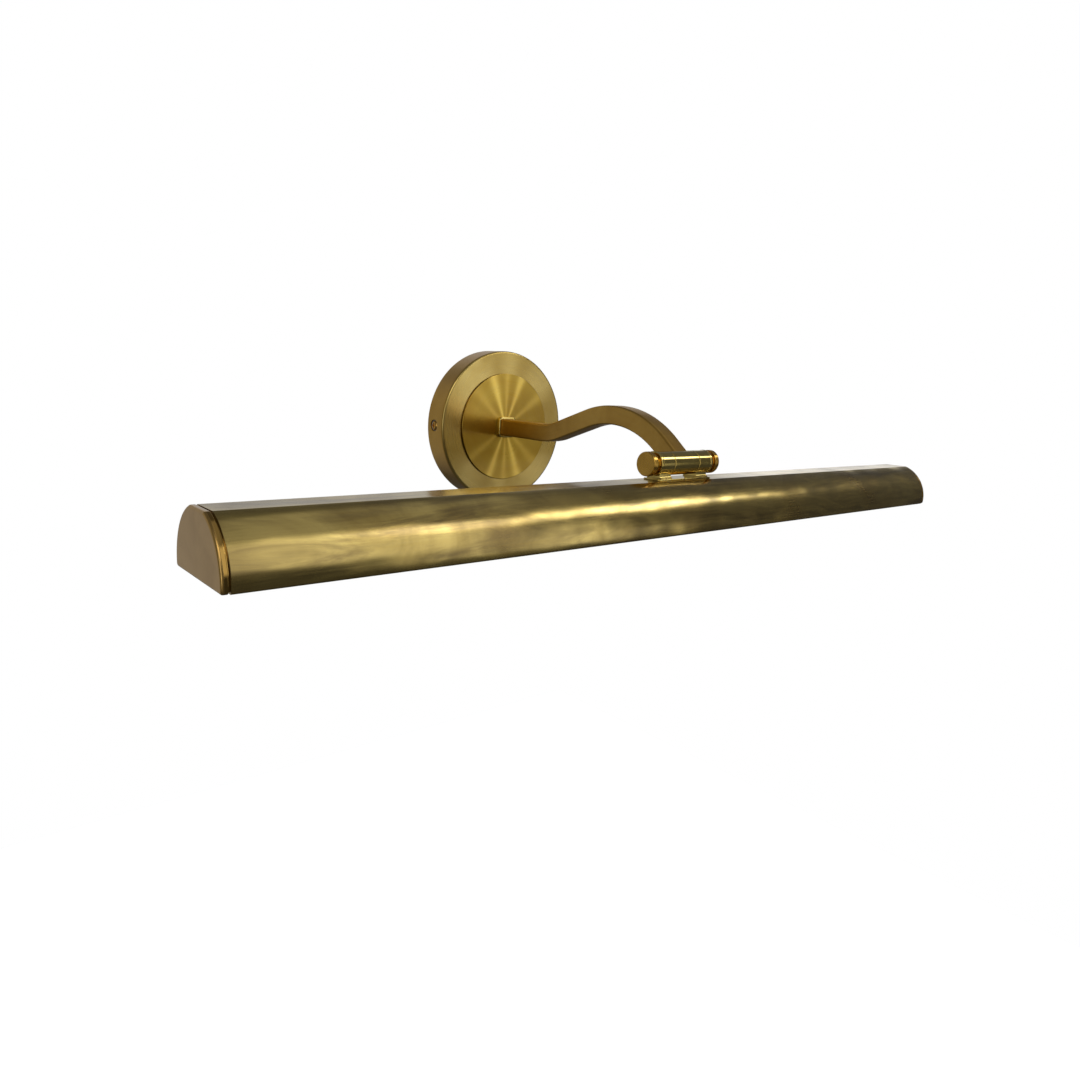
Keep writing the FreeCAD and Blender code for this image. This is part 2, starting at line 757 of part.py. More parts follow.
def makeKnuckle(label, side):
    """Turned knuckle with a foot that stands on the hinge plate."""
    edge, outer = s.barrelEdge, s.barrelRadius
    width = s.knuckleEnd - knuckleStart
    direction = "X" if side > 0 else "-X"
    corners = [
        (0, 0), (outer - edge, 0), (outer, edge), (outer, width - edge), (outer - edge, width), (0, width),
    ]
    solid = turned(f"{label}Round", corners, knuckleStart * side, hingeY, hingeZ, direction)
    span = sorted((knuckleStart * side, s.knuckleEnd * side), key=lambda size: size.value)
    narrow, wide = s.footHalfWidth, s.footFlangeHalfWidth
    foot = block(f"{label}Foot", span, (hingeY - narrow, hingeY + narrow), (footBase, hingeZ))
    spanZ = (footBase, footBase + s.footFlangeHeight)
    flange = block(f"{label}Flange", span, (hingeY - wide, hingeY + wide), spanZ)
    bore = rod(f"{label}Bore", pinHole, width + s.cutMargin * 2, (knuckleStart - s.cutMargin) * side,
               hingeY, hingeZ, direction)
    thread = rod(f"{label}Thread", s.hingeScrewRadius + s.screwGap, s.hingeScrewDepth, s.hingeScrewX * side,
                 hingeY, footBase)
    tools = [bore, thread]
    if side > 0:
        tools.append(rod("knuckleLeadHole", leadHoleRadius, hingeZ - footBase + s.cutMargin, s.leadHoleX,
                         hingeY, hingeZ, "-Z"))
    named(label, cut(f"{label}Cut", fuse(f"{label}Solid", solid, foot, flange), *tools))


def makeHingeTrim():
    """Friction washers, spacer rings and turned end caps, left and right."""
    washers = []
    rings = []
    edge = s.capEdge
    for side, direction, label in ((-1, "-X", "left_hinge_cap"), (1, "X", "right_hinge_cap")):
        inner = (s.barrelHalf + s.runningGap) * side
        washers.append(ring("frictionWasher", pinHole, s.barrelRadius - edge, s.frictionThickness,
                            inner, hingeY, hingeZ, direction))
        rings.append(ring("spacerRing", pinHole, s.barrelRadius + s.ringProud, s.ringThickness,
                          s.knuckleEnd * side, hingeY, hingeZ, direction))
        groove, thread, top = s.grooveLength, s.grooveLength + s.capThread, s.grooveLength + s.capLength
        outer = s.barrelRadius
        corners = [
            (0, thread), (pinHole, thread), (pinHole, 0), (s.grooveRadius, 0), (s.grooveRadius, groove),
            (outer - edge, groove), (outer, groove + edge), (outer, top - edge), (outer - edge, top),
            (0, top),
        ]
        named(label, turned(label, corners, ringEnd * side, hingeY, hingeZ, direction, {5: edge, 7: edge}))
    named("friction_washers", group("frictionWashers", washers))
    named("hinge_rings", group("hingeRings", rings))


def makeHingePlate():
    """Plate between the feet and the shade, and the screws that hold them from below."""
    half, wide, corner = s.hingePlateHalf, s.hingePlateHalfWidth, s.hingePlateCorner
    corners = [
        (half - corner, -wide), (half, corner - wide), (half, wide - corner), (half - corner, wide),
        (corner - half, wide), (-half, wide - corner), (-half, corner - wide), (corner - half, -wide),
    ]
    arcs = {0: corner, 2: corner, 4: corner, 6: corner}
    plate = extruded("hingePlate", "XY_Plane", [(corners, arcs)], s.hingePlateThickness, 0, hingeY, shadeTop)
    named("hinge_plate", cut("hingePlateCut", plate, *shadeTopHoles("plateHole")))
    screws = []
    length = s.reflectorThickness + s.shadeWall + s.hingePlateThickness + s.hingeScrewDepth - s.screwGap
    for side in (-1, 1):
        screws.append(screw("hingeScrew", s.hingeScrewHeadRadius, s.hingeScrewHeadHeight, s.hingeScrewRadius,
                            length, s.hingeScrewX * side, hingeY, reflectorUnder, "Z"))
    named("hinge_screws", group("hingeScrews", screws))


def shadeTopHoles(name):
    """Drills through everything that the hinge screws clamp, for the screws and for the lead."""
    deep = s.reflectorThickness + s.shadeWall + s.hingePlateThickness + s.cutMargin * 2
    start = reflectorUnder - s.cutMargin
    radius = s.hingeScrewRadius + s.screwGap
    holes = [rod(name, radius, deep, s.hingeScrewX * side, hingeY, start) for side in (-1, 1)]
    holes.append(rod(name, leadHoleRadius, deep, s.leadHoleX, hingeY, start))
    return holes


# ---- shade


def makeShell():
    """Trough of sheet brass: round sides, a flat along the top and a lip turned in along each bottom edge."""
    wide = chordHalf(s.shadeRadius, s.shadeSkirt)
    inner = chordHalf(shadeInner, s.shadeSkirt - s.shadeWall)
    innerFlat = chordHalf(shadeInner, flatRise - s.shadeWall)
    bottom, lip = -s.shadeSkirt, s.shadeWall - s.shadeSkirt
    top, under = flatRise, flatRise - s.shadeWall
    inside = wide - s.shadeLip
    corners = [
        (inside, bottom), (wide, bottom), (s.shadeFlatHalf, top), (-s.shadeFlatHalf, top), (-wide, bottom),
        (-inside, bottom), (-inside, lip), (-inner, lip), (-innerFlat, under), (innerFlat, under),
        (inner, lip), (inside, lip),
    ]
    arcs = {1: s.shadeRadius, 3: s.shadeRadius, 7: ("left", shadeInner), 9: ("left", shadeInner)}
    shell = extruded("shell", "YZ_Plane", [(corners, arcs)], shellHalf * 2, 0, hingeY, shadeCentre,
                     symmetric=True)
    tools = shadeTopHoles("shellHole")
    for side in (-1, 1):
        for across in (-1, 1):
            tools.append(lipScrew("lipHole", side, across, s.screwGap))
    named("shade_shell", cut("shellCut", shell, *tools))


def lipScrew(name, side, across, gap):
    """A countersunk screw up through the lip, or with a gap, the hole that it goes in."""
    head, thread = s.lipScrewHeadRadius + gap, s.lipScrewRadius + gap
    top = s.lipScrewLength + gap
    corners = [(0, 0), (head, 0), (thread, s.shadeWall), (thread, top), (0, top)]
    x = (shellHalf - s.spigotDepth / 2 + s.endCapGap / 2) * side
    y = hingeY + (lipEdge + s.shadeLip / 2) * across
    return turned(name, corners, x, y, shadeBottom, "Z")


def makeEndCap(label, side):
    """D-shaped end with bevelled edges and a spigot that enters the shell, with an ear over each lip."""
    wide, bottom, top = chordHalf(s.shadeRadius, s.shadeSkirt), -s.shadeSkirt, flatRise
    corners = [(-wide, bottom), (wide, bottom), (s.shadeFlatHalf, top), (-s.shadeFlatHalf, top)]
    arcs = {1: s.shadeRadius, 3: s.shadeRadius}
    start = s.shadeHalf - s.endCapThickness if side > 0 else -s.shadeHalf
    face = extruded(f"{label}Face", "YZ_Plane", [(corners, arcs)], s.endCapThickness, start, hingeY,
                    shadeCentre)
    doc.recompute()
    pad = face.Tip
    level = pad.Shape.BoundBox.XMax if side > 0 else pad.Shape.BoundBox.XMin
    names = [f"Edge{number}" for number, edge in enumerate(pad.Shape.Edges, 1)
             if max(abs(edge.BoundBox.XMin - level), abs(edge.BoundBox.XMax - level)) < tolerance]
    bevel = face.newObject("PartDesign::Chamfer", f"{label}Bevel")
    bevel.Base = (pad, names)
    bind(bevel, Size=s.endCapEdge)
    face.Tip = bevel
    outer = shadeInner - s.spigotGap
    inner = outer - s.spigotThickness
    rise = flatRise - s.shadeWall - s.spigotGap
    foot = s.shadeWall + s.spigotGap - s.shadeSkirt
    wideOut, wideIn = chordHalf(outer, foot), chordHalf(inner, foot)
    flatOut, flatIn = chordHalf(outer, rise), chordHalf(inner, rise - s.spigotThickness)
    corners = [
        (wideIn, foot), (wideOut, foot), (flatOut, rise), (-flatOut, rise), (-wideOut, foot), (-wideIn, foot),
        (-flatIn, rise - s.spigotThickness), (flatIn, rise - s.spigotThickness),
    ]
    arcs = {1: outer, 3: outer, 5: ("left", inner), 7: ("left", inner)}
    hold = s.endCapThickness / 2
    depth = s.endCapGap + s.spigotDepth + hold
    back = s.shadeHalf - hold - depth if side > 0 else hold - s.shadeHalf
    spigot = extruded(f"{label}Spigot", "YZ_Plane", [(corners, arcs)], depth, back, hingeY, shadeCentre)
    pieces = [face, spigot]
    tools = []
    floor = shadeCentre + foot
    for across in (-1, 1):
        outside = (wideIn + wideOut) / 2
        ends = sorted(((outside - s.earWidth) * across, outside * across), key=lambda size: size.value)
        spanY = (hingeY + ends[0], hingeY + ends[1])
        pieces.append(block(f"{label}Ear", (back, back + depth), spanY, (floor, floor + s.earHeight)))
        tools.append(lipScrew(f"{label}Thread", side, across, s.screwGap))
    named(label, cut(f"{label}Cut", fuse(f"{label}Solid", *pieces), *tools))


def makeReflector():
    """Folded white sheet under the shell's flat, with a foot along each lip."""
    thick, flat, foot = s.reflectorThickness, s.reflectorFlatHalf, lipEdge - s.reflectorFootInset
    top = flatRise - s.shadeWall
    floor = s.shadeWall - s.shadeSkirt
    edge = foot + s.reflectorFootLength
    corners = [
        (foot - thick, floor), (edge, floor), (edge, floor + thick), (foot, floor + thick), (flat, top),
        (-flat, top), (-foot, floor + thick), (-edge, floor + thick), (-edge, floor), (thick - foot, floor),
        (thick - flat, top - thick), (flat - thick, top - thick),
    ]
    half = shellHalf - s.spigotDepth - s.reflectorEndGap
    sheetMetal = extruded("reflectorSheet", "YZ_Plane", [(corners, {})], half * 2, 0, hingeY, shadeCentre,
                          symmetric=True)
    named("reflector", cut("reflectorCut", sheetMetal, *shadeTopHoles("reflectorHole")))


# ---- lamps


def makeLampPair(side, label):
    """Bracket with a hollow nipple, two nuts and two lampholders back to back, and their lamps."""
    start = (s.bracketX - s.bracketThickness / 2) * side if side > 0 else -s.bracketX - s.bracketThickness / 2
    low = lampZ - s.bracketBaseHalf
    neck = lampZ + s.glassRadius + s.glassGap - s.bracketTopHeight
    top, base = s.bracketTopHalf, s.bracketBaseHalf
    corners = [
        (-base, low), (base, low), (base, neck), (top, neck), (top, reflectorUnder),
        (-top, reflectorUnder), (-top, neck), (-base, neck),
    ]
    plate = extruded(f"{label}Plate", "YZ_Plane", [(corners, {})], s.bracketThickness, start, hingeY, 0)
    hole = rod(f"{label}Hole", s.nippleRadius + s.screwGap, s.bracketThickness + s.cutMargin * 2,
               start - s.cutMargin, hingeY, lampZ, "X")
    named(label, cut(f"{label}Cut", plate, hole))
    reach = s.bracketThickness / 2 + s.nippleNutHeight + s.nippleEngage
    nipple = ring("nipple", s.nippleBore, s.nippleRadius, reach * 2, s.bracketX * side - reach, hingeY,
                  lampZ, "X")
    nuts = []
    for turn, direction in ((-1, "-X"), (1, "X")):
        face = s.bracketX * side + s.bracketThickness / 2 * turn
        solid = hexagon("nippleNutSolid", s.nippleNutFlats, s.nippleNutHeight, face, hingeY, lampZ, direction)
        thread = rod("nippleNutThread", s.nippleRadius + s.screwGap, s.nippleNutHeight, face, hingeY, lampZ,
                     direction)
        nuts.append(cut("nippleNut", solid, thread))
    return nipple, nuts


def makeHolder(number, x, direction):
    """Lampholder with its threaded sleeve and centre contact; x is where its floor end stands."""
    outer, edge, length = s.holderRadius, s.holderEdge, s.holderLength
    nippleHole = s.nippleRadius + s.screwGap
    well = s.nippleEngage + s.screwGap
    corners = [
        (nippleHole, 0), (outer - edge, 0), (outer, edge), (outer, length), (s.holderBore, length),
        (s.holderBore, s.holderFloor), (0, s.holderFloor), (0, well), (nippleHole, well),
    ]
    label = f"lampholder_{number}"
    named(label, turned(f"holder{number}", corners, x, hingeY, lampZ, direction, {1: edge}))
    sleeve = s.capRadius + s.sleeveGap
    top = length - s.holderEdge
    corners = [(sleeve, top - s.sleeveLength), (sleeve + s.sleeveWall, top - s.sleeveLength)]
    corners += [(sleeve + s.sleeveWall, top), (sleeve, top)]
    thread = turned("holderSleeve", corners, x, hingeY, lampZ, direction)
    high = s.holderFloor + s.contactHeight
    corners = [(0, s.holderFloor), (s.capTip, s.holderFloor), (s.capTip, high), (0, high)]
    contact = turned("holderContact", corners, x, hingeY, lampZ, direction)
    return thread, contact


def makeLamp(number, x, direction):
    """Tubular lamp: screw cap, glass tube with a domed end, and a filament on its glass stem."""
    tip = s.holderFloor + s.contactHeight
    cone = tip + s.capTipHeight
    body = cone + s.capConeHeight
    mouth = body + s.capBodyLength
    corners = [
        (0, tip), (s.capTip, tip), (s.capTip, cone), (s.capRadius, body), (s.capRadius, mouth), (0, mouth),
    ]
    named(f"lamp_cap_{number}", turned(f"lampCap{number}", corners, x, hingeY, lampZ, direction))
    outer, wall, neck = s.glassRadius, s.glassWall, s.glassNeck
    shoulder = mouth + s.shoulderLength
    end = mouth + s.glassLength
    turn = outer - neck
    corners = [
        (neck - wall, mouth), (neck, mouth), (neck, shoulder - turn), (outer, shoulder), (outer, end - outer),
        (0, end), (0, end - wall), (outer - wall, end - outer), (outer - wall, shoulder),
        (neck - wall, shoulder - turn),
    ]
    arcs = {4: outer, 6: ("left", outer - wall)}
    named(f"lamp_glass_{number}", turned(f"lampGlass{number}", corners, x, hingeY, lampZ, direction, arcs))
    stemTop = mouth + s.filamentStemLength
    post = stemTop + s.filamentLength
    stem, thin, coil = s.filamentStemRadius, s.filamentPostRadius, s.filamentRadius
    corners = [
        (0, mouth), (stem, mouth), (stem / 2, stemTop), (thin, stemTop), (thin, stemTop + stem),
        (coil, stemTop + stem), (coil, post - stem), (thin, post - stem), (thin, post), (0, post),
    ]
    return turned("filament", corners, x, hingeY, lampZ, direction)


def makeLamps():
    """Two pairs of lamps along the shade."""
    nipples, nuts, sleeves, contacts, filaments = [], [], [], [], []
    holderStart = s.bracketThickness / 2 + s.nippleNutHeight
    number = 0
    for side, label in ((-1, "left_lamp_bracket"), (1, "right_lamp_bracket")):
        nipple, pair = makeLampPair(side, label)
        nipples.append(nipple)
        nuts += pair
        for turn, direction in ((-1, "-X"), (1, "X")):
            number += 1
            x = s.bracketX * side + holderStart * turn
            sleeve, contact = makeHolder(number, x, direction)
            sleeves.append(sleeve)
            contacts.append(contact)
            filaments.append(makeLamp(number, x, direction))
    named("holder_nipples", group("holderNipples", nipples))
    named("nipple_nuts", group("nippleNuts", nuts))
    named("holder_sleeves", group("holderSleeves", sleeves))
    named("holder_contacts", group("holderContacts", contacts))
    named("lamp_filaments", group("lampFilaments", filaments))


# ---- wiring of the shade


def makeShadeWiring():
    """Connector under the reflector, the lead to it through the hinge, and a lead to each holder."""
    start, end = s.shadeBlockStartX, s.shadeBlockStartX + s.shadeBlockWidth
    half, low = s.shadeBlockHalf, reflectorUnder - s.shadeBlockHeight
    housing = block("shadeHousing", (start, end), (hingeY - half, hingeY + half), (low, reflectorUnder))
    named("shade_terminal", housing)
    screws = []
    for x in (start + half / 2, end - half / 2):
        for across in (-1, 1):
            screws.append(rod("shadeBlockScrew", s.shadeBlockScrewRadius, s.shadeBlockScrewHeight, x,
                              hingeY + half / 2 * across, low, "-Z"))
    named("shade_terminal_screws", group("shadeTerminalScrews", screws))
    axisY, axisZ = hingeY.value, hingeZ.value
    holeX = s.leadHoleX.value
    level = reflectorUnder.value - s.shadeLeadLevel.value
    inner = s.leadRadius.value + s.pinLeadGap.value
    points = [Vector(inner, axisY, axisZ), Vector(holeX, axisY, axisZ), Vector(holeX, axisY, level)]
    points.append(Vector(start.value, axisY, level))
    bend = s.leadRadius.value * 2
    named("shade_lead", lead("shadeLead", points, [bend, bend], s.leadRadius.value))
    for across, label in ((-1, "live_leads"), (1, "neutral_leads")):
        runs = [lampLead(side, across, start, end) for side in (-1, 1)]
        runs += [jumper(side, across) for side in (-1, 1)]
        named(label, group(label, runs))


def holderTop(across):
    """Where a lead meets the round of a holder."""
    spread = s.lampLeadSpacing.value
    rise = math.sqrt(s.holderRadius.value ** 2 - (spread - s.lampLeadRadius.value) ** 2)
    return hingeY.value + spread * across, lampZ.value + rise


def lampLead(side, across, start, end):
    """A lead from the connector along the reflector and down to the nearer holder of a pair."""
    y, low = holderTop(across)
    level = reflectorUnder.value - s.lampLeadLevel.value
    floor = s.bracketX.value - s.bracketThickness.value / 2 - s.nippleNutHeight.value
    x = (floor - s.lampLeadEntry.value) * side
    first = end.value if side > 0 else start.value
    points = [Vector(first, y, level), Vector(x, y, level), Vector(x, y, low)]
    return lead("lampLead", points, [s.lampLeadBend.value], s.lampLeadRadius.value)


def jumper(side, across):
    """A short lead from one holder of a pair over the bracket to the other."""
    y, low = holderTop(across)
    floor = s.bracketThickness.value / 2 + s.nippleNutHeight.value
    reach = floor + s.jumperEntry.value
    middle = s.bracketX.value * side
    level = reflectorUnder.value - s.jumperLevel.value + s.lampLeadRadius.value
    points = [Vector(middle - reach, y, low), Vector(middle - reach, y, level)]
    points += [Vector(middle + reach, y, level), Vector(middle + reach, y, low)]
    return lead("jumper", points, [s.jumperBend.value] * 2, s.lampLeadRadius.value)


makeBracket()
makeBackplate()
makeFaceDisc()
makeSideScrews()
makeGrommet()
makeEarthPoint()
makeTerminalBlock()
makeCollar()
makeArm()
makeStem()
makeSupplyLead()
makeBarrel()
makePin()
makeKnuckle("left_knuckle", -1)
makeKnuckle("right_knuckle", 1)
makeHingeTrim()
makeHingePlate()
makeShell()
makeEndCap("left_end_cap", -1)
makeEndCap("right_end_cap", 1)
named("end_cap_screws", group("endCapScrews", [lipScrew("lipScrew", side, across, asLength(0))
                                               for side in (-1, 1) for across in (-1, 1)]))
makeReflector()
makeLamps()
makeShadeWiring()
doc.recompute()

for item in doc.Objects:
    if "Invalid" in item.State or "Error" in item.State:
        raise RuntimeError(f"{item.Name} is {item.State}")
os.makedirs("parts", exist_ok=True)
for label, item in parts.items():
    if item.Shape.isNull() or not item.Shape.isValid():
        raise RuntimeError(f"{label} has no valid shape")
    item.Shape.exportStep(f"parts/{label}.step")
print(len(parts), "pieces")
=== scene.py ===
import json
import math

import bmesh
import bpy
import numpy as np
from mathutils import Matrix, Vector


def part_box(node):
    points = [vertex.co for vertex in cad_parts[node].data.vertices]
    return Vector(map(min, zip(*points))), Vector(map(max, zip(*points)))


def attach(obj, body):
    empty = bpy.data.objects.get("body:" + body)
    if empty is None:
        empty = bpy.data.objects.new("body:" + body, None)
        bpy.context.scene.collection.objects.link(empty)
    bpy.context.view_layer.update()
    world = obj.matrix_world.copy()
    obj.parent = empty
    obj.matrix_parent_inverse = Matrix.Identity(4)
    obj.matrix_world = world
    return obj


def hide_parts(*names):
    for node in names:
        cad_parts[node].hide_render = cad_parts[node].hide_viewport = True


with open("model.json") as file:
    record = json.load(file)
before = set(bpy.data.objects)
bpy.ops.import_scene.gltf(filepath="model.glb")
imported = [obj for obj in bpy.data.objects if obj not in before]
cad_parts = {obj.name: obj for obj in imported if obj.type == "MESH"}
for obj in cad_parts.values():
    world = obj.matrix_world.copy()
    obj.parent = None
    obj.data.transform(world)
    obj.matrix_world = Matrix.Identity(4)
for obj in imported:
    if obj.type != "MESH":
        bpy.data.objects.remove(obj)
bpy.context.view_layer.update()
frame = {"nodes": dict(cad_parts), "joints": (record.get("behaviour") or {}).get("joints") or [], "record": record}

mm = 0.001
wallBody, shadeBody = "wall_base", "shade_head"
print("frame loaded:", len(frame["nodes"]), "nodes")

# camera, at eye level in front of the light and to its left

cameraView = {"place": (-0.4002, -0.5340, 0.0409), "yaw": 40.944, "pitch": -11.582, "roll": 3.176,
              "lens": 26.38, "sensor": 36, "nearest": 0.01}


def makeCamera():
    yaw, pitch, roll = (math.radians(cameraView[key]) for key in ("yaw", "pitch", "roll"))
    look = Vector((math.sin(yaw) * math.cos(pitch), math.cos(yaw) * math.cos(pitch), math.sin(pitch)))
    level = Vector((math.cos(yaw), -math.sin(yaw), 0))
    upright = level.cross(look)
    right = level * math.cos(roll) + upright * math.sin(roll)
    up = upright * math.cos(roll) - level * math.sin(roll)
    data = bpy.data.cameras.new("frontCamera")
    data.lens = cameraView["lens"]
    data.sensor_width = cameraView["sensor"]
    data.clip_start = cameraView["nearest"]
    camera = bpy.data.objects.new("frontCamera", data)
    bpy.context.scene.collection.objects.link(camera)
    facing = Matrix((right, up, -look)).transposed().to_4x4()
    camera.matrix_world = Matrix.Translation(cameraView["place"]) @ facing
    bpy.context.scene.camera = camera


makeCamera()
print("camera placed")

# shapes


# a line of arcs in a plane: each is (centre u, centre v, radius, first angle, last angle, steps) in degrees;
# a corner has radius 0, from one arc to the next the line is straight, and a point met twice is kept once
def arcLine(*arcs):
    runs = []
    for u, v, radius, first, last, steps in arcs:
        turn = np.radians(np.linspace(first, last, steps + 1 if radius else 1))
        runs.append(np.stack([u + radius * np.cos(turn), v + radius * np.sin(turn)], axis=1))
    line = np.concatenate(runs)
    step = np.linalg.norm(np.diff(line, axis=0), axis=1)
    return line[np.concatenate([[True], step > 1e-4 * mm])]


def corner(u, v):
    return (u, v, 0, 0, 0, 0)


# distance travelled along a line of points
def travelled(line):
    return np.concatenate([[0], np.cumsum(np.linalg.norm(np.diff(line, axis=0), axis=1))])


# an axis with two directions square to it: the first is straight up, or along X where the axis is upright
def axesRound(axis):
    axis = np.array(axis, float)
    side = np.array([0, 0, 1.0]) if abs(axis[2]) < 0.5 else np.array([1.0, 0, 0])
    return axis, side, np.cross(axis, side)


# a turned surface: the profile's (height, radius) goes round the axis through full turns of cosine and sine
def lathe(profile, centre, axis, columns=128):
    axis, side, other = axesRound(axis)
    turn = np.linspace(0, 2 * np.pi, columns + 1)
    circle = np.outer(np.cos(turn), side) + np.outer(np.sin(turn), other)
    height, radius = profile[:, 0, None, None], profile[:, 1, None, None]
    points = np.array(centre) + height * axis + radius * circle[None]
    u, v = np.meshgrid(turn * profile[:, 1].max(), travelled(profile))
    return {"points": points, "uv": np.stack([u, v], axis=2)}


# an extruded outline: each row is the closed outline moved along the axis by its height and drawn in along
# its own normals by its inset, so that quarter circles of (height, inset) round the edges; a last narrow row
# at each end lies flat
def prism(outline, start, end, edge, frameAxes, centre, steps=4, flat=0.3 * mm):
    closed = np.concatenate([outline, outline[:1]])
    tangent = np.roll(outline, -1, axis=0) - np.roll(outline, 1, axis=0)
    inward = np.stack([-tangent[:, 1], tangent[:, 0]], axis=1)
    inward /= np.linalg.norm(inward, axis=1)[:, None]
    area = np.sum(outline[:, 0] * np.roll(outline[:, 1], -1) - np.roll(outline[:, 0], -1) * outline[:, 1])
    inward = np.concatenate([inward, inward[:1]]) * np.sign(area)
    first, last = edge if isinstance(edge, tuple) else (edge, edge)
    turn = np.linspace(0, np.pi / 2, steps + 1)
    height = np.concatenate([[start], start + first * (1 - np.cos(turn)), [start + first + flat],
                             [end - last - flat], end - last * (1 - np.cos(turn[::-1])), [end]])
    inset = np.concatenate([[first + flat], first * (1 - np.sin(turn)), [0, 0],
                            last * (1 - np.sin(turn[::-1])), [last + flat]])
    plan = closed[None] + inward[None] * inset[:, None, None]
    across, up, along = (np.array(axis, float) for axis in frameAxes)
    points = np.array(centre) + plan[..., :1] * across + plan[..., 1:] * up + height[:, None, None] * along
    u, v = np.meshgrid(travelled(closed), height)
    return {"points": points, "uv": np.stack([u, v], axis=2), "caps": closed}


# a rectangle with rounded corners, given by half its width and height
def roundedRectangle(halfU, halfV, radius, steps):
    quarters = ((1, 1, 0), (-1, 1, 90), (-1, -1, 180), (1, -1, 270))
    return arcLine(*[((halfU - radius) * u, (halfV - radius) * v, radius, turn, turn + 90, steps)
                     for u, v, turn in quarters])


# the arm's square section as a closed loop
def squareLoop(half, radius):
    line = roundedRectangle(half, half, radius, 6)
    return np.concatenate([line, line[:1]])


# where a node starts and ends along X, measured outwards on its own side of the middle
def reachOf(node, side):
    low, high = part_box(node)
    return (low.x, high.x) if side > 0 else (-high.x, -low.x)


# a turned node's radius, and the point where its axis crosses the plane X = 0
def roundOf(node):
    low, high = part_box(node)
    return (high.z - low.z) / 2, (0, hinge.y, (low.z + high.z) / 2)


# makes room for a round hole in a flat grid: the square rings of points about its centre become rings that
# run evenly from the hole's circle, at the share "start" of the way out, to the square's unmoved border
def punchHole(u, v, centre, half, radius, start):
    a = (u - centre[0]) / half[0]
    b = (v - centre[1]) / half[1]
    reach = np.maximum(np.abs(a), np.abs(b))
    near = reach < 1 + 1e-6
    safe = np.maximum(reach, 1e-9)
    length = np.maximum(np.hypot(a * half[0], b * half[1]), 1e-9)
    share = np.clip((reach - start) / (1 - start), 0, 1)
    newU = centre[0] + (1 - share) * radius * a * half[0] / length + share * a / safe * half[0]
    newV = centre[1] + (1 - share) * radius * b * half[1] / length + share * b / safe * half[1]
    middle = (reach[1:, 1:] + reach[:-1, 1:] + reach[1:, :-1] + reach[:-1, :-1]) / 4
    return np.where(near, newU, u), np.where(near, newV, v), middle > start


# one mesh object from grids of points; rows and columns become quads, an end is closed by one face with the
# flat outline as its map, and seams and poles are merged
def makePiece(name, grids, body, nodes, material, closed=True, smooth=35):
    points, faces, uv = [], [], []
    count = 0
    for grid in grids:
        rows, columns = grid["points"].shape[:2]
        index = np.arange(rows * columns).reshape(rows, columns) + count
        quads = np.stack([index[:-1, :-1], index[:-1, 1:], index[1:, 1:], index[1:, :-1]], axis=2)
        kept = quads[grid["mask"]] if "mask" in grid else quads.reshape(-1, 4)
        faces += kept.tolist()
        points.append(grid["points"].reshape(-1, 3))
        uv.append(grid["uv"].reshape(-1, 2))
        count += rows * columns
        for ring in (grid["points"][0], grid["points"][-1]) if "caps" in grid else ():
            faces.append(list(range(count, count + columns - 1)))
            points.append(ring[:-1])
            uv.append(grid["caps"][:-1])
            count += columns - 1
    points, uv = np.concatenate(points), np.concatenate(uv)
    mesh = bpy.data.meshes.new(name)
    mesh.from_pydata(points.tolist(), [], faces)
    corners = np.zeros(len(mesh.loops), np.int32)
    mesh.loops.foreach_get("vertex_index", corners)
    layer = mesh.uv_layers.new(name="run")
    layer.data.foreach_set("uv", uv[corners].astype(np.float32).ravel())
    work = bmesh.new()
    work.from_mesh(mesh)
    bmesh.ops.remove_doubles(work, verts=work.verts, dist=2e-6)
    if closed:
        bmesh.ops.recalc_face_normals(work, faces=work.faces)
    work.to_mesh(mesh)
    work.free()
    mesh.polygons.foreach_set("use_smooth", np.ones(len(mesh.polygons), bool))
    mesh.set_sharp_from_angle(angle=math.radians(smooth))
    mesh.materials.append(material)
    piece = bpy.data.objects.new(name, mesh)
    bpy.context.scene.collection.objects.link(piece)
    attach(piece, body)
    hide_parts(*nodes)
    return piece


def thicken(piece, thickness, bevel=0.0):
    wall = piece.modifiers.new("wall", "SOLIDIFY")
    wall.thickness = thickness
    wall.offset = -1
    wall.use_even_offset = True
    if bevel:
        rounding = piece.modifiers.new("edges", "BEVEL")
        rounding.width = bevel
        rounding.segments = 2
        rounding.angle_limit = math.radians(50)


# materials


def hexColor(code):
    channels = np.array([int(code[at:at + 2], 16) for at in (1, 3, 5)]) / 255
    linear = np.where(channels <= 0.04045, channels / 12.92, ((channels + 0.055) / 1.055) ** 2.4)
    return (*linear.tolist(), 1.0)


# adds a node with its settings; inputs are values, or sockets to link
def addNode(tree, kind, inputs=None, **settings):
    made = tree.nodes.new("ShaderNode" + kind)
    for name, value in settings.items():
        setattr(made, name, value)
    for name, value in (inputs or {}).items():
        if isinstance(value, bpy.types.NodeSocket):
            tree.links.new(value, made.inputs[name])
        else:
            made.inputs[name].default_value = value
    return made


def startMaterial(name):
    material = bpy.data.materials.new(name)
    material.use_nodes = True
    material.node_tree.nodes.clear()
    return material, material.node_tree


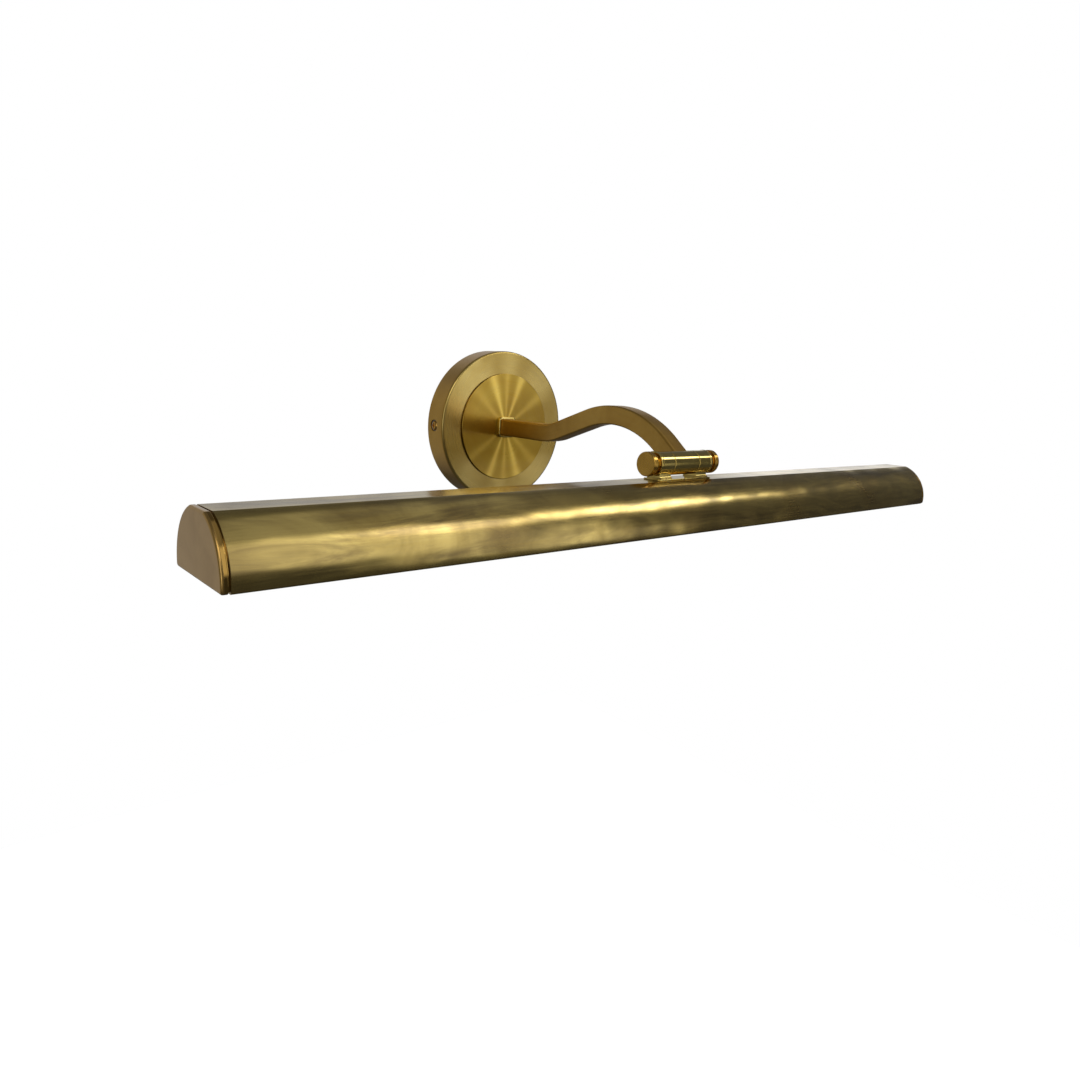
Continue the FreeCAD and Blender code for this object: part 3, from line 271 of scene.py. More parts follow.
# painted highlights: the light a spun face throws back, painted into its colour as pairs of streaks through its
# middle; each is the cosine of the clock angle from its own line, raised to a power; they lie on the front only,
# and the colour between them is darkened as painted shade
def paintHighlightStreaks(tree, place, color, look):
    at = addNode(tree, "SeparateXYZ", {0: place.outputs["Object"]})
    clock = addNode(tree, "Math", {0: at.outputs["X"], 1: at.outputs["Z"]}, operation="ARCTAN2")
    front = addNode(tree, "MapRange", {"Value": at.outputs["Y"], "From Min": -look["front"][0],
                                       "From Max": -look["front"][1]})
    total = 0.0
    for angle, level, power in look["paintedStreaks"]:
        off = addNode(tree, "Math", {0: clock.outputs[0], 1: math.radians(angle)}, operation="SUBTRACT")
        wave = addNode(tree, "Math", {0: off.outputs[0]}, operation="COSINE")
        size = addNode(tree, "Math", {0: wave.outputs[0]}, operation="ABSOLUTE")
        lobe = addNode(tree, "Math", {0: size.outputs[0], 1: power}, operation="POWER")
        total = addNode(tree, "Math", {0: lobe.outputs[0], 1: level, 2: total},
                        operation="MULTIPLY_ADD").outputs[0]
    # painted light: the colour is darkened to the 'between' colour as painted shade between the streaks, and left
    # bright under the painted highlights
    paintedLight = addNode(tree, "Mix", {0: total, 6: hexColor(look["between"]), 7: hexColor("#ffffff")},
                   data_type="RGBA")
    masked = addNode(tree, "Mix", {0: front.outputs["Result"], 6: hexColor(look["side"]), 7: paintedLight.outputs[2]},
                     data_type="RGBA")
    return addNode(tree, "Mix", {0: 1.0, 6: color.outputs[2], 7: masked.outputs[2]}, data_type="RGBA",
                   blend_type="MULTIPLY")


# smoky patches drawn out along X: partly stains left by handling and polish, partly painted dark reflection
# between the bright streaks on the sheet
def addPatinaAndDarkReflection(tree, place, color, patinaAndDarkReflection):
    scale = (1 / (patinaAndDarkReflection["along"] * mm), 1 / (patinaAndDarkReflection["across"] * mm), 1 / (patinaAndDarkReflection["across"] * mm))
    drawn = addNode(tree, "Mapping", {"Vector": place.outputs["Object"], "Scale": scale})
    smoke = addNode(tree, "TexNoise", {"Vector": drawn.outputs["Vector"], "Scale": 1.0, "Detail": 6.0,
                                       "Roughness": 0.6, "Distortion": 0.8})
    share = addNode(tree, "MapRange", {"Value": smoke.outputs["Fac"], "From Min": 0.46, "From Max": 0.68,
                                       "To Max": patinaAndDarkReflection["share"]})
    # partly painted dark reflection: the smoky patches darken the colour
    return addNode(tree, "Mix", {0: share.outputs["Result"], 6: color.outputs[2],
                                 7: hexColor(patinaAndDarkReflection["color"])}, data_type="RGBA")


# a cap's rounded rim, buffed shinier than its satin face, with its colour darkened as painted shade along the rim
def polishAndShadeRim(tree, place, smoky, color, rim):
    at = addNode(tree, "SeparateXYZ", {0: place.outputs["Object"]})
    out = addNode(tree, "Math", {0: at.outputs["X"]}, operation="ABSOLUTE")
    face = addNode(tree, "MapRange", {"Value": out.outputs[0], "From Min": rim["start"],
                                      "From Max": rim["end"]})
    rough = addNode(tree, "Mix", {0: face.outputs["Result"], 2: rim["rough"], 3: smoky.outputs[0]})
    # painted shade: the rim's colour is darker than the face's
    tone = addNode(tree, "Mix", {0: face.outputs["Result"], 6: hexColor(rim["color"]), 7: color.outputs[2]},
                   data_type="RGBA")
    return rough, tone


# a metal with tarnish in cloudy patches and fine lines left by its making; lines run along the piece's own
# first direction, and are drawn coarser than the real 0.05 mm so that they show; painted highlight streaks,
# smoky patches that are partly painted dark reflection, and a polished rim darkened as painted shade are added
# where the look has them
def metal(name, look):
    material, tree = startMaterial(name)
    place = addNode(tree, "TexCoord")
    clouds = addNode(tree, "TexNoise", {"Vector": place.outputs["Object"], "Scale": 1 / (look["cloud"] * mm),
                                        "Detail": 4.0, "Roughness": 0.55, "Distortion": 0.6})
    cloudy = addNode(tree, "MapRange", {"Value": clouds.outputs["Fac"], "From Min": 0.35, "From Max": 0.7})
    source = place.outputs["UV"] if look["brush"] else place.outputs["Object"]
    scale = (1 / (look["along"] * mm), 1 / (look["across"] * mm), 1 / (look["across"] * mm))
    stretched = addNode(tree, "Mapping", {"Vector": source, "Scale": scale})
    lines = addNode(tree, "TexNoise", {"Vector": stretched.outputs["Vector"], "Scale": 1.0, "Detail": 3.0,
                                       "Roughness": 0.7})
    base = addNode(tree, "Mix", {0: cloudy.outputs["Result"], 6: hexColor(look["light"]),
                                 7: hexColor(look["dark"])}, data_type="RGBA")
    line = addNode(tree, "MapRange", {"Value": lines.outputs["Fac"], "From Min": 0.3, "From Max": 0.7})
    faint = addNode(tree, "Math", {0: line.outputs["Result"], 1: look["lineTint"]}, operation="MULTIPLY")
    color = addNode(tree, "Mix", {0: faint.outputs[0], 6: base.outputs[2], 7: hexColor(look["worn"])},
                    data_type="RGBA")
    if "paintedStreaks" in look:
        color = paintHighlightStreaks(tree, place, color, look)
    if "patinaAndDarkReflection" in look:
        color = addPatinaAndDarkReflection(tree, place, color, look["patinaAndDarkReflection"])
    rough = addNode(tree, "MapRange", {"Value": lines.outputs["Fac"], "From Min": 0.3, "From Max": 0.7,
                                       "To Min": look["rough"][0], "To Max": look["rough"][1]})
    smoky = addNode(tree, "Math", {0: cloudy.outputs["Result"], 1: look["smoke"], 2: rough.outputs["Result"]},
                    operation="MULTIPLY_ADD")
    grain = addNode(tree, "Bump", {"Height": lines.outputs["Fac"], "Strength": look["bump"],
                                   "Distance": 0.02 * mm})
    swell = addNode(tree, "TexNoise", {"Vector": place.outputs["Object"], "Scale": 1 / (look["swell"] * mm),
                                       "Detail": 1.0})
    waves = addNode(tree, "Bump", {"Height": swell.outputs["Fac"], "Strength": 1.0,
                                   "Distance": look["swellHeight"] * mm, "Normal": grain.outputs["Normal"]})
    if "rim" in look:
        smoky, color = polishAndShadeRim(tree, place, smoky, color, look["rim"])
    shader = addNode(tree, "BsdfPrincipled", {
        "Base Color": color.outputs[2], "Metallic": 1.0, "Roughness": smoky.outputs[0],
        "Anisotropic": look["stretch"], "Anisotropic Rotation": 0.25, "Normal": waves.outputs["Normal"],
        "Coat Weight": look["lacquer"], "Coat Roughness": 0.08})
    if look["brush"]:
        tangent = addNode(tree, "Tangent", direction_type="UV_MAP", uv_map="run")
        tree.links.new(tangent.outputs[0], shader.inputs["Tangent"])
    addNode(tree, "OutputMaterial", {"Surface": shader.outputs[0]})
    return material


plateFront = -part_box("backplate")[0].y
# spun on a lathe and lacquered: fine rings that draw the light out, with pairs of streaks painted into its colour
# as highlights and painted shade between them
spunBrass = metal("brassSpunSatin", {
    "light": "#f0cd5c", "dark": "#e0b648", "worn": "#f6e090", "cloud": 24, "along": 60, "across": 0.5,
    "lineTint": 0.3, "rough": (0.26, 0.34), "smoke": 0.03, "bump": 0.05, "stretch": 0.5, "brush": True,
    # 'between' is painted shade between the painted highlight streaks
    "swell": 40, "swellHeight": 0.02, "lacquer": 0.15, "between": "#c2baa0", "side": "#e8e8e8",
    "front": (plateFront - 1.5 * mm, plateFront - 0.5 * mm),
    "paintedStreaks": ((-47, 0.45, 150), (-20, 1.0, 190), (0, 0.45, 400), (21, 1.1, 280), (54, 0.5, 180),
                (-75, 0.2, 30))})
# the plate's wider ring, spun and buffed paler, with soft wide painted highlight streaks and painted shade between
# them
buffedBrass = metal("brassSpunBuffed", {
    "light": "#e8cd7a", "dark": "#d6b65c", "worn": "#f2dfa2", "cloud": 30, "along": 60, "across": 0.6,
    "lineTint": 0.3, "rough": (0.24, 0.34), "smoke": 0.04, "bump": 0.05, "stretch": 0.2, "brush": True,
    "swell": 40, "swellHeight": 0.02, "lacquer": 0.2, "between": "#c0b69a", "side": "#dcc492",
    # 'between' is painted shade between the painted highlight streaks
    "front": (plateFront - 1.5 * mm, plateFront - 0.5 * mm),
    "paintedStreaks": ((-44, 0.8, 10), (4, 0.5, 60), (44, 0.5, 16), (-85, 0.4, 12))})
# drawn tube, brushed by hand along its length: soft streaks, warm and a little dull
brushedBrass = metal("brassBrushedTube", {
    "light": "#c99f48", "dark": "#b58834", "worn": "#dbb96c", "cloud": 22, "along": 40, "across": 0.4,
    "lineTint": 0.3, "rough": (0.3, 0.44), "smoke": 0.04, "bump": 0.4, "stretch": 0.5, "brush": True,
    "swell": 30, "swellHeight": 0.02, "lacquer": 0.2})
# turned and buffed: clear reflections with hair lines round the piece
polishedBrass = metal("brassTurnedPolished", {
    "light": "#d9c06c", "dark": "#c4a850", "worn": "#e8d490", "cloud": 12, "along": 30, "across": 0.3,
    "lineTint": 0.15, "rough": (0.06, 0.12), "smoke": 0.03, "bump": 0.15, "stretch": 0.3, "brush": True,
    "swell": 12, "swellHeight": 0.005, "lacquer": 0.5})
# faced on the lathe and lacquered: an even warm brown-gold with faint rings
capBrass = metal("brassFacedSatin", {
    "light": "#c99c40", "dark": "#b48834", "worn": "#dab860", "cloud": 10, "along": 25, "across": 0.3,
    "lineTint": 0.2, "rough": (0.2, 0.3), "smoke": 0.03, "bump": 0.2, "stretch": 0.3, "brush": True,
    "swell": 12, "swellHeight": 0.005, "lacquer": 0.2})
# rolled sheet, buffed along its length and left to age: smoky patches that are partly painted dark reflection, and
# slightly wavy reflections
agedBrass = metal("brassSheetAged", {
    "light": "#cfb66a", "dark": "#937a3c", "worn": "#e2cf8e", "cloud": 40, "along": 90, "across": 0.9,
    "lineTint": 0.12, "rough": (0.12, 0.18), "smoke": 0.12, "bump": 0.03, "stretch": 0.3, "brush": True,
    "swell": 42, "swellHeight": 1.5, "lacquer": 0.3,
    # smoky patches, partly tarnish and partly painted dark reflection
    "patinaAndDarkReflection": {"along": 75, "across": 13, "color": "#74603a", "share": 0.75}})
# what small bare parts share: no drawn-out lines, no waves, no lacquer
bareMetal = {"lineTint": 0.2, "bump": 0.2, "stretch": 0.0, "brush": False, "swell": 8, "swellHeight": 0.0,
             "lacquer": 0.0}
# machined from bar and left bare: small screws and fittings
machinedBrass = metal("brassMachined", bareMetal | {
    "light": "#e2b45a", "dark": "#c58f3a", "worn": "#f2d692", "cloud": 6, "along": 3, "across": 0.2,
    "rough": (0.2, 0.32), "smoke": 0.05})
# bright zinc over pressed steel: bluish grey with spangled patches
zincSteel = metal("steelZincPlated", bareMetal | {
    "light": "#c3c7cc", "dark": "#9aa1a8", "worn": "#dfe3e6", "cloud": 5, "along": 6, "across": 0.4,
    "rough": (0.28, 0.42), "smoke": 0.06})
# thin aluminium pressed to the lamp's screw cap
lampMetal = metal("aluminiumPressed", bareMetal | {
    "light": "#cfd0cd", "dark": "#adafac", "worn": "#e6e6e2", "cloud": 5, "along": 4, "across": 0.3,
    "rough": (0.22, 0.34), "smoke": 0.06})
# drawn wire, darkened by heat
tungsten = metal("tungstenDrawnWire", bareMetal | {
    "light": "#6d6a68", "dark": "#4b4846", "worn": "#8d8a86", "cloud": 3, "along": 2, "across": 0.1,
    "rough": (0.35, 0.5), "smoke": 0.05, "bump": 0.1})


# a paint, plastic or ceramic: speckled or clouded colour over a skin with its own fine relief
def coating(name, look):
    material, tree = startMaterial(name)
    place = addNode(tree, "TexCoord")
    clouds = addNode(tree, "TexNoise", {"Vector": place.outputs["Object"], "Scale": 1 / (look["cloud"] * mm),
                                        "Detail": 3.0})
    relief = addNode(tree, "TexNoise", {"Vector": place.outputs["Object"], "Scale": 1 / (look["relief"] * mm),
                                        "Detail": 2.0})
    color = addNode(tree, "Mix", {0: clouds.outputs["Fac"], 6: hexColor(look["light"]),
                                  7: hexColor(look["dark"])}, data_type="RGBA")
    rough = addNode(tree, "MapRange", {"Value": relief.outputs["Fac"], "To Min": look["rough"][0],
                                       "To Max": look["rough"][1]})
    skin = addNode(tree, "Bump", {"Height": relief.outputs["Fac"], "Strength": look["bump"],
                                  "Distance": 0.03 * mm})
    shader = addNode(tree, "BsdfPrincipled", {
        "Base Color": color.outputs[2], "Roughness": rough.outputs["Result"], "IOR": look["ior"],
        "Coat Weight": look["coat"], "Coat Roughness": 0.1, "Normal": skin.outputs["Normal"]})
    addNode(tree, "OutputMaterial", {"Surface": shader.outputs[0]})
    return material


# baked gloss paint with the faint orange peel of spraying
whiteEnamel = coating("enamelWhiteBaked", {"light": "#f4f3ee", "dark": "#e9e7df", "cloud": 60, "relief": 1.6,
                                           "rough": (0.2, 0.32), "bump": 0.35, "ior": 1.5, "coat": 0.4})
# black rubber from a mould: matt, faintly pitted
blackRubber = coating("rubberMoulded", {"light": "#232323", "dark": "#151515", "cloud": 6, "relief": 0.5,
                                        "rough": (0.6, 0.8), "bump": 0.5, "ior": 1.52, "coat": 0.0})
# off-white nylon from a mould: a soft sheen
whiteNylon = coating("nylonMoulded", {"light": "#efece2", "dark": "#e2ded1", "cloud": 8, "relief": 0.6,
                                      "rough": (0.35, 0.5), "bump": 0.3, "ior": 1.53, "coat": 0.0})
# cream thermoset from a polished mould: smooth and slightly glossy
creamHolder = coating("thermosetMouldedCream", {"light": "#e9e1cc", "dark": "#dbd0b6", "cloud": 14,
                                                "relief": 0.8, "rough": (0.3, 0.45), "bump": 0.3,
                                                "ior": 1.55, "coat": 0.15})
# extruded sheaths: an even satin skin in each core's colour
sheathSkin = {"relief": 0.4, "rough": (0.4, 0.55), "bump": 0.3, "ior": 1.53, "coat": 0.0}
whiteSheath = coating("pvcSheathWhite", sheathSkin | {"light": "#efeeea", "dark": "#e2e0da", "cloud": 12})
brownSheath = coating("pvcSheathBrown", sheathSkin | {"light": "#5c3a22", "dark": "#4a2d19", "cloud": 10})
blueSheath = coating("pvcSheathBlue", sheathSkin | {"light": "#2b5a9c", "dark": "#214a84", "cloud": 10})
# white friction washers, turned: waxy, with hardly a shine
ptfe = coating("ptfeTurned", {"light": "#f1f0ec", "dark": "#e5e3dd", "cloud": 5, "relief": 0.3,
                              "rough": (0.35, 0.5), "bump": 0.2, "ior": 1.36, "coat": 0.0})


# sheath of an earth core: green with yellow bands 1.2 mm wide along it
def earthSheathMaterial():
    material, tree = startMaterial("pvcSheathEarth")
    place = addNode(tree, "TexCoord")
    bands = addNode(tree, "TexWave", {"Vector": place.outputs["Object"], "Scale": 0.1 / (1.2 * mm)},
                    bands_direction="Z")
    split = addNode(tree, "MapRange", {"Value": bands.outputs["Fac"], "From Min": 0.45, "From Max": 0.55})
    color = addNode(tree, "Mix", {0: split.outputs["Result"], 6: hexColor("#3f8f3a"),
                                  7: hexColor("#d9c93a")}, data_type="RGBA")
    relief = addNode(tree, "TexNoise", {"Vector": place.outputs["Object"], "Scale": 1 / (0.4 * mm)})
    rough = addNode(tree, "MapRange", {"Value": relief.outputs["Fac"], "To Min": 0.4, "To Max": 0.55})
    shader = addNode(tree, "BsdfPrincipled", {"Base Color": color.outputs[2],
                                              "Roughness": rough.outputs["Result"]})
    addNode(tree, "OutputMaterial", {"Surface": shader.outputs[0]})
    return material


# drawn soda-lime tube: clear, with the slight waves of its drawing
def clearGlassMaterial():
    material, tree = startMaterial("glassDrawnClear")
    place = addNode(tree, "TexCoord")
    waves = addNode(tree, "TexNoise", {"Vector": place.outputs["Object"], "Scale": 1 / (14 * mm)})
    rough = addNode(tree, "MapRange", {"Value": waves.outputs["Fac"], "To Min": 0.01, "To Max": 0.04})
    ripple = addNode(tree, "Bump", {"Height": waves.outputs["Fac"], "Strength": 0.4, "Distance": 0.05 * mm})
    shader = addNode(tree, "BsdfPrincipled", {
        "Base Color": hexColor("#f7fbfb"), "Roughness": rough.outputs["Result"], "IOR": 1.5,
        "Transmission Weight": 1.0, "Normal": ripple.outputs["Normal"]})
    addNode(tree, "OutputMaterial", {"Surface": shader.outputs[0]})
    return material


earthSheath, clearGlass = earthSheathMaterial(), clearGlassMaterial()
print("materials made")

# wall plate

drumSize = {"wall": 1.2 * mm, "edge": 1.8 * mm, "holeRadius": 4.5 * mm, "holeDepth": 8.5 * mm,
            "columns": 320, "holeCells": 14, "holeStart": 4 / 7, "centreHole": 5.15 * mm,
            "frontRow": 30 * mm, "sheetEdge": 0.15 * mm}


# the drum's outside turned round -Y, with its rim punched at each side
def makeDrum():
    low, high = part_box("backplate")
    radius, depth = high.x, -low.y
    edge, cells = drumSize["edge"], drumSize["holeCells"]
    rim = np.linspace(0, 2 * drumSize["holeDepth"], cells + 1)
    front = arcLine((depth - edge, radius - edge, edge, 90, 0, 10), corner(depth, drumSize["frontRow"]),
                    corner(depth, drumSize["centreHole"]))
    profile = np.concatenate([np.stack([rim, np.full(cells + 1, radius)], axis=1), front])
    turn, height = np.meshgrid(np.linspace(2 * np.pi, 0, drumSize["columns"] + 1), profile[:, 0])
    mask = np.ones((len(profile) - 1, drumSize["columns"]), bool)
    around = turn * radius
    half = (np.pi * radius * cells / drumSize["columns"], drumSize["holeDepth"])
    onRim = np.arange(len(profile)) <= cells
    for centre in (0.5 * np.pi * radius, 1.5 * np.pi * radius):
        newAround, newHeight, keep = punchHole(around, height, (centre, drumSize["holeDepth"]), half,
                                               drumSize["holeRadius"], drumSize["holeStart"])
        around = np.where(onRim[:, None], newAround, around)
        height = np.where(onRim[:, None], newHeight, height)
        mask &= keep | ~onRim[1:, None]
    turn = around / radius
    reach = np.broadcast_to(profile[:, 1, None], turn.shape)
    points = np.stack([reach * np.sin(turn), -height, reach * np.cos(turn)], axis=2)
    uv = np.stack([turn * radius, np.broadcast_to(travelled(profile)[:, None], turn.shape)], axis=2)
    piece = makePiece("backplateDrum", [{"points": points, "uv": uv, "mask": mask}], wallBody,
                      ["backplate"], buffedBrass, closed=False)
    thicken(piece, drumSize["wall"], drumSize["sheetEdge"])


makeDrum()

discSize = {"edge": 0.4 * mm, "hole": 5.15 * mm, "gapDepth": 0.9 * mm, "gapHeight": 0.8 * mm}


# a flat turned disc with a rounded front edge and a narrow shadow gap at its foot
def makeDisc():
    low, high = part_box("face_disc")
    back, front, radius, edge = -high.y, -low.y, high.x, discSize["edge"]
    foot, shelf = radius - discSize["gapDepth"], back + discSize["gapHeight"]
    profile = arcLine(corner(back, discSize["hole"]), corner(back, foot), corner(shelf, foot),
                      corner(shelf, radius), (front - edge, radius - edge, edge, 90, 0, 8),
                      corner(front, radius - edge * 1.5), corner(front, discSize["hole"]),
                      corner(back, discSize["hole"]))
    makePiece("spunFaceDisc", [lathe(profile, (0, 0, 0), (0, -1, 0), 256)], wallBody, ["face_disc"],
              spunBrass)


makeDisc()

# shares of the head's radius and height
screwSize = {"crossArm": 0.58, "crossHalf": 0.15, "depth": 0.5, "fall": 0.45, "soft": 0.05, "rows": 40,
             "columns": 120}


# a pan head over a polar grid: the top falls away with the fourth power of the radius, and a cross of two
# bars is sunk into it
def panHead(radius, height, under, axis):
    axis, side, other = axesRound(axis)
    share = np.concatenate([np.linspace(0, 1, screwSize["rows"]), [1.0, 0.99]])
    turn = np.linspace(0, 2 * np.pi, screwSize["columns"] + 1)
    reach, angle = share[:, None], turn[None]
    first, second = np.abs(reach * np.cos(angle)), np.abs(reach * np.sin(angle))
    soft = screwSize["soft"]
    bars = [np.clip((screwSize["crossHalf"] - a) / soft + 0.5, 0, 1)
            * np.clip((screwSize["crossArm"] - b) / soft + 0.5, 0, 1)
            for a, b in ((first, second), (second, first))]
    rise = height * (1 - screwSize["fall"] * reach ** 4 - screwSize["depth"] * np.maximum(*bars))
    rise[-2:] = 0
    points = (np.array(under) + rise[..., None] * axis + (reach * radius * np.cos(angle))[..., None] * side
              + (reach * radius * np.sin(angle))[..., None] * other)
    uv = np.stack(np.broadcast_arrays(angle * radius, reach * radius), axis=2)
    return {"points": points, "uv": uv}


def shank(radius, length, under, axis):
    profile = np.array([[0, 0], [0, radius], [-length, radius], [-length, 0]])
    return lathe(profile, under, axis, 48)


sideScrewSize = {"head": 3.4 * mm, "height": 2.4 * mm, "shank": 2.0 * mm, "length": 4.2 * mm}


def makeSideScrews():
    low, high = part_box("side_screws")
    grids = []
    for side in (-1, 1):
        under = (side * (high.x - sideScrewSize["height"]), (low.y + high.y) / 2, 0)
        grids.append(panHead(sideScrewSize["head"], sideScrewSize["height"], under, (side, 0, 0)))
        grids.append(shank(sideScrewSize["shank"], sideScrewSize["length"], under, (side, 0, 0)))
    makePiece("rimScrews", grids, wallBody, ["side_screws"], machinedBrass)


makeSideScrews()
print("wall plate made")

# arm

# the bends are given by where the straight runs would meet (Y, Z) and by their radius
armSize = {"half": 6.5 * mm, "corner": 1.5 * mm, "bendSteps": 40, "overlap": 0.1 * mm,
           "bends": ((-82.4 * mm, 0, 52 * mm), (-161.2 * mm, 27.8 * mm, 73 * mm)),
           "collarEdge": 0.9 * mm, "collarGap": 0.05 * mm, "collarSlant": 0.3 * mm}
hinge = Vector(frame["joints"][0]["pos_m"])


# the arm's middle line: straight runs and tangent arcs; gives each point with the direction of travel there
def armLine():
    stops = [np.array([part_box("face_disc")[0].y, 0.0])]
    stops += [np.array(bend[:2]) for bend in armSize["bends"]]
    stops.append(np.array([hinge.y, hinge.z]))
    runs = [b - a for a, b in zip(stops, stops[1:])]
    headings = [math.atan2(run[1], run[0]) % (2 * math.pi) for run in runs]
    points, angles = [stops[0]], [headings[0]]
    for index, bend in enumerate(armSize["bends"]):
        before, after = headings[index], headings[index + 1]
        turn = after - before
        reach = bend[2] * math.tan(abs(turn) / 2)
        first = stops[index + 1] - np.array([math.cos(before), math.sin(before)]) * reach
        side = math.copysign(1, turn)
        centre = first + bend[2] * side * np.array([-math.sin(before), math.cos(before)])
        heading = np.linspace(before, after, armSize["bendSteps"])
        arc = centre + bend[2] * side * np.stack([np.sin(heading), -np.cos(heading)], axis=1)
        points += list(arc)
        angles += list(heading)
    return np.array(points), np.array(angles), stops[-1], headings[-1]


# the square section carried along the middle line; its last ring is drawn back onto the barrel's round
def makeArm():
    line, heading, end, last = armLine()
    section = squareLoop(armSize["half"], armSize["corner"])
    barrelRadius = roundOf("hinge_barrel")[0]
    normal = np.stack([-np.sin(heading), np.cos(heading)], axis=1)
    rings = line[:, None] + section[None, :, 1, None] * normal[:, None]
    back = np.sqrt(np.maximum(barrelRadius ** 2 - section[:, 1] ** 2, 0)) - armSize["overlap"]
    lastNormal = np.array([-math.sin(last), math.cos(last)])
    travel = np.array([math.cos(last), math.sin(last)])
    cope = end + section[:, 1, None] * lastNormal - back[:, None] * travel
    rings = np.concatenate([rings, cope[None]])
    across = np.broadcast_to(section[None, :, 0], rings.shape[:2])
    points = np.concatenate([across[..., None], rings], axis=2)
    length = travelled(np.concatenate([line, end[None]]))
    u, v = np.meshgrid(length, travelled(section), indexing="ij")
    grid = {"points": points, "uv": np.stack([u, v], axis=2), "caps": section}
    makePiece("curvedArm", [grid], wallBody, ["arm"], brushedBrass)


makeArm()


# a square frame: its profile of (offset from the arm, depth) goes round the arm's own rounded square
def makeCollar():
    low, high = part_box("arm_collar")
    inner, outer = armSize["collarGap"], high.x - armSize["half"]
    back, front, edge = high.y, low.y, armSize["collarEdge"]
    slant = armSize["collarSlant"]
    profile = arcLine(corner(inner, back), corner(outer, back),
                      (outer - edge, front + edge, edge, 0, -90, 6), corner(inner + slant, front),
                      corner(inner, front + slant), corner(inner, back))
    loops = [squareLoop(armSize["half"] + offset, armSize["corner"] + offset) for offset in profile[:, 0]]
    flat = np.stack(loops)
    depth = np.broadcast_to(profile[:, 1, None], flat.shape[:2])
    points = np.stack([flat[..., 0], depth, flat[..., 1]], axis=2)
    u, v = np.meshgrid(travelled(loops[1]), travelled(profile))
    makePiece("armCollar", [{"points": points, "uv": np.stack([u, v], axis=2)}], wallBody, ["arm_collar"],
              polishedBrass)


makeCollar()
print("arm made")

# hinge

hingeSize = {"pinHole": 4.25 * mm, "edge": 0.15 * mm, "flatRow": 0.08 * mm, "ringEdge": 0.5 * mm,
             "groove": 6.0 * mm, "capLength": 3.8 * mm, "capEdge": 0.6 * mm, "capBack": 0.4 * mm,
             "boreDepth": 3.0 * mm, "footHalf": 4.6 * mm, "footEdge": 0.2 * mm, "flare": 1.3 * mm,
             "flangeHalf": 6.0 * mm, "flangeHeight": 0.7 * mm, "plateCorner": 1.5 * mm, "plateEdge": 0.3 * mm}
hingeCentre = (0, hinge.y, hinge.z)


# a turned sleeve between two heights, its outer edges rounded
def sleeve(inner, outer, start, end, edge, columns=160):
    profile = arcLine(corner(start, inner), (start + edge, outer - edge, edge, 180, 90, 5),
                      corner(start + edge * 1.6, outer), corner(end - edge * 1.6, outer),
                      (end - edge, outer - edge, edge, 90, 0, 5), corner(end, inner), corner(start, inner))
    return lathe(profile, hingeCentre, (1, 0, 0), columns)


def makeBarrel():
    radius, half = roundOf("hinge_barrel")[0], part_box("hinge_barrel")[1].x
    grid = sleeve(hingeSize["pinHole"], radius, -half, half, hingeSize["edge"])
    makePiece("hingeBarrel", [grid], wallBody, ["hinge_barrel"], polishedBrass)


# a round that runs down into a foot: its outline is extruded along the hinge's axis
def makeKnuckle(name, node):
    low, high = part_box(node)
    radius, base = high.z - hinge.z, low.z - hinge.z
    foot, flare = hingeSize["footHalf"], hingeSize["flare"]
    wide, top, edge = hingeSize["flangeHalf"], base + hingeSize["flangeHeight"], hingeSize["footEdge"]
    meet = math.degrees(math.asin(foot / radius))
    outline = arcLine(
        corner(-wide, base), corner(wide, base), (wide - edge, top - edge, edge, 0, 90, 3),
        (foot + flare, top + flare, flare, 270, 180, 6), (0, 0, radius, meet - 90, 270 - meet, 90),
        (-foot - flare, top + flare, flare, 0, -90, 6), (edge - wide, top - edge, edge, 90, 180, 3))
    axes = ((0, 1, 0), (0, 0, 1), (1, 0, 0))
    grid = prism(outline, low.x, high.x, hingeSize["edge"], axes, hingeCentre, flat=hingeSize["flatRow"])
    makePiece(name, [grid], shadeBody, [node], polishedBrass)


def makeRings():
    radius, start, end = roundOf("hinge_rings")[0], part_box("right_knuckle")[1].x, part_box("hinge_rings")[1].x
    grids = [sleeve(hingeSize["pinHole"], radius, *ends, hingeSize["ringEdge"])
             for ends in ((-end, -start), (start, end))]
    makePiece("spacerRings", grids, shadeBody, ["hinge_rings"], polishedBrass)


# a turned cap with a groove behind its head, bored from the back for the pin
def makeCap(name, node, side):
    radius, edge, back = roundOf(node)[0], hingeSize["capEdge"], hingeSize["capBack"]
    inside, face = reachOf(node, side)
    head, floor = face - hingeSize["capLength"], inside + hingeSize["boreDepth"]
    profile = arcLine(
        corner(floor, 0), corner(floor, hingeSize["pinHole"]), corner(inside, hingeSize["pinHole"]),
        corner(inside, hingeSize["groove"]), corner(head, hingeSize["groove"]),
        (head + back, radius - back, back, 180, 90, 5), corner(head + back * 1.75, radius),
        corner(face - edge * 1.5, radius), (face - edge, radius - edge, edge, 90, 0, 7),
        corner(face, radius - edge * 1.4), corner(face, radius / 2), corner(face, 0))
    grid = lathe(profile, hingeCentre, (side, 0, 0), 160)
    makePiece(name, [grid], shadeBody, [node], capBrass)


# a plate with rounded corners and edges
def makeHingePlate():
    low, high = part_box("hinge_plate")
    outline = roundedRectangle(high.x, (high.y - low.y) / 2, hingeSize["plateCorner"], 8)
    axes = ((1, 0, 0), (0, 1, 0), (0, 0, 1))
    grid = prism(outline, low.z, high.z, hingeSize["plateEdge"], axes, (0, hinge.y, 0))
    makePiece("hingePlate", [grid], shadeBody, ["hinge_plate"], polishedBrass)


makeBarrel()
makeKnuckle("leftKnuckle", "left_knuckle")
makeKnuckle("rightKnuckle", "right_knuckle")
makeRings()
makeCap("leftHingeCap", "left_hinge_cap", -1)
makeCap("rightHingeCap", "right_hinge_cap", 1)
makeHingePlate()
print("hinge made")

# shade

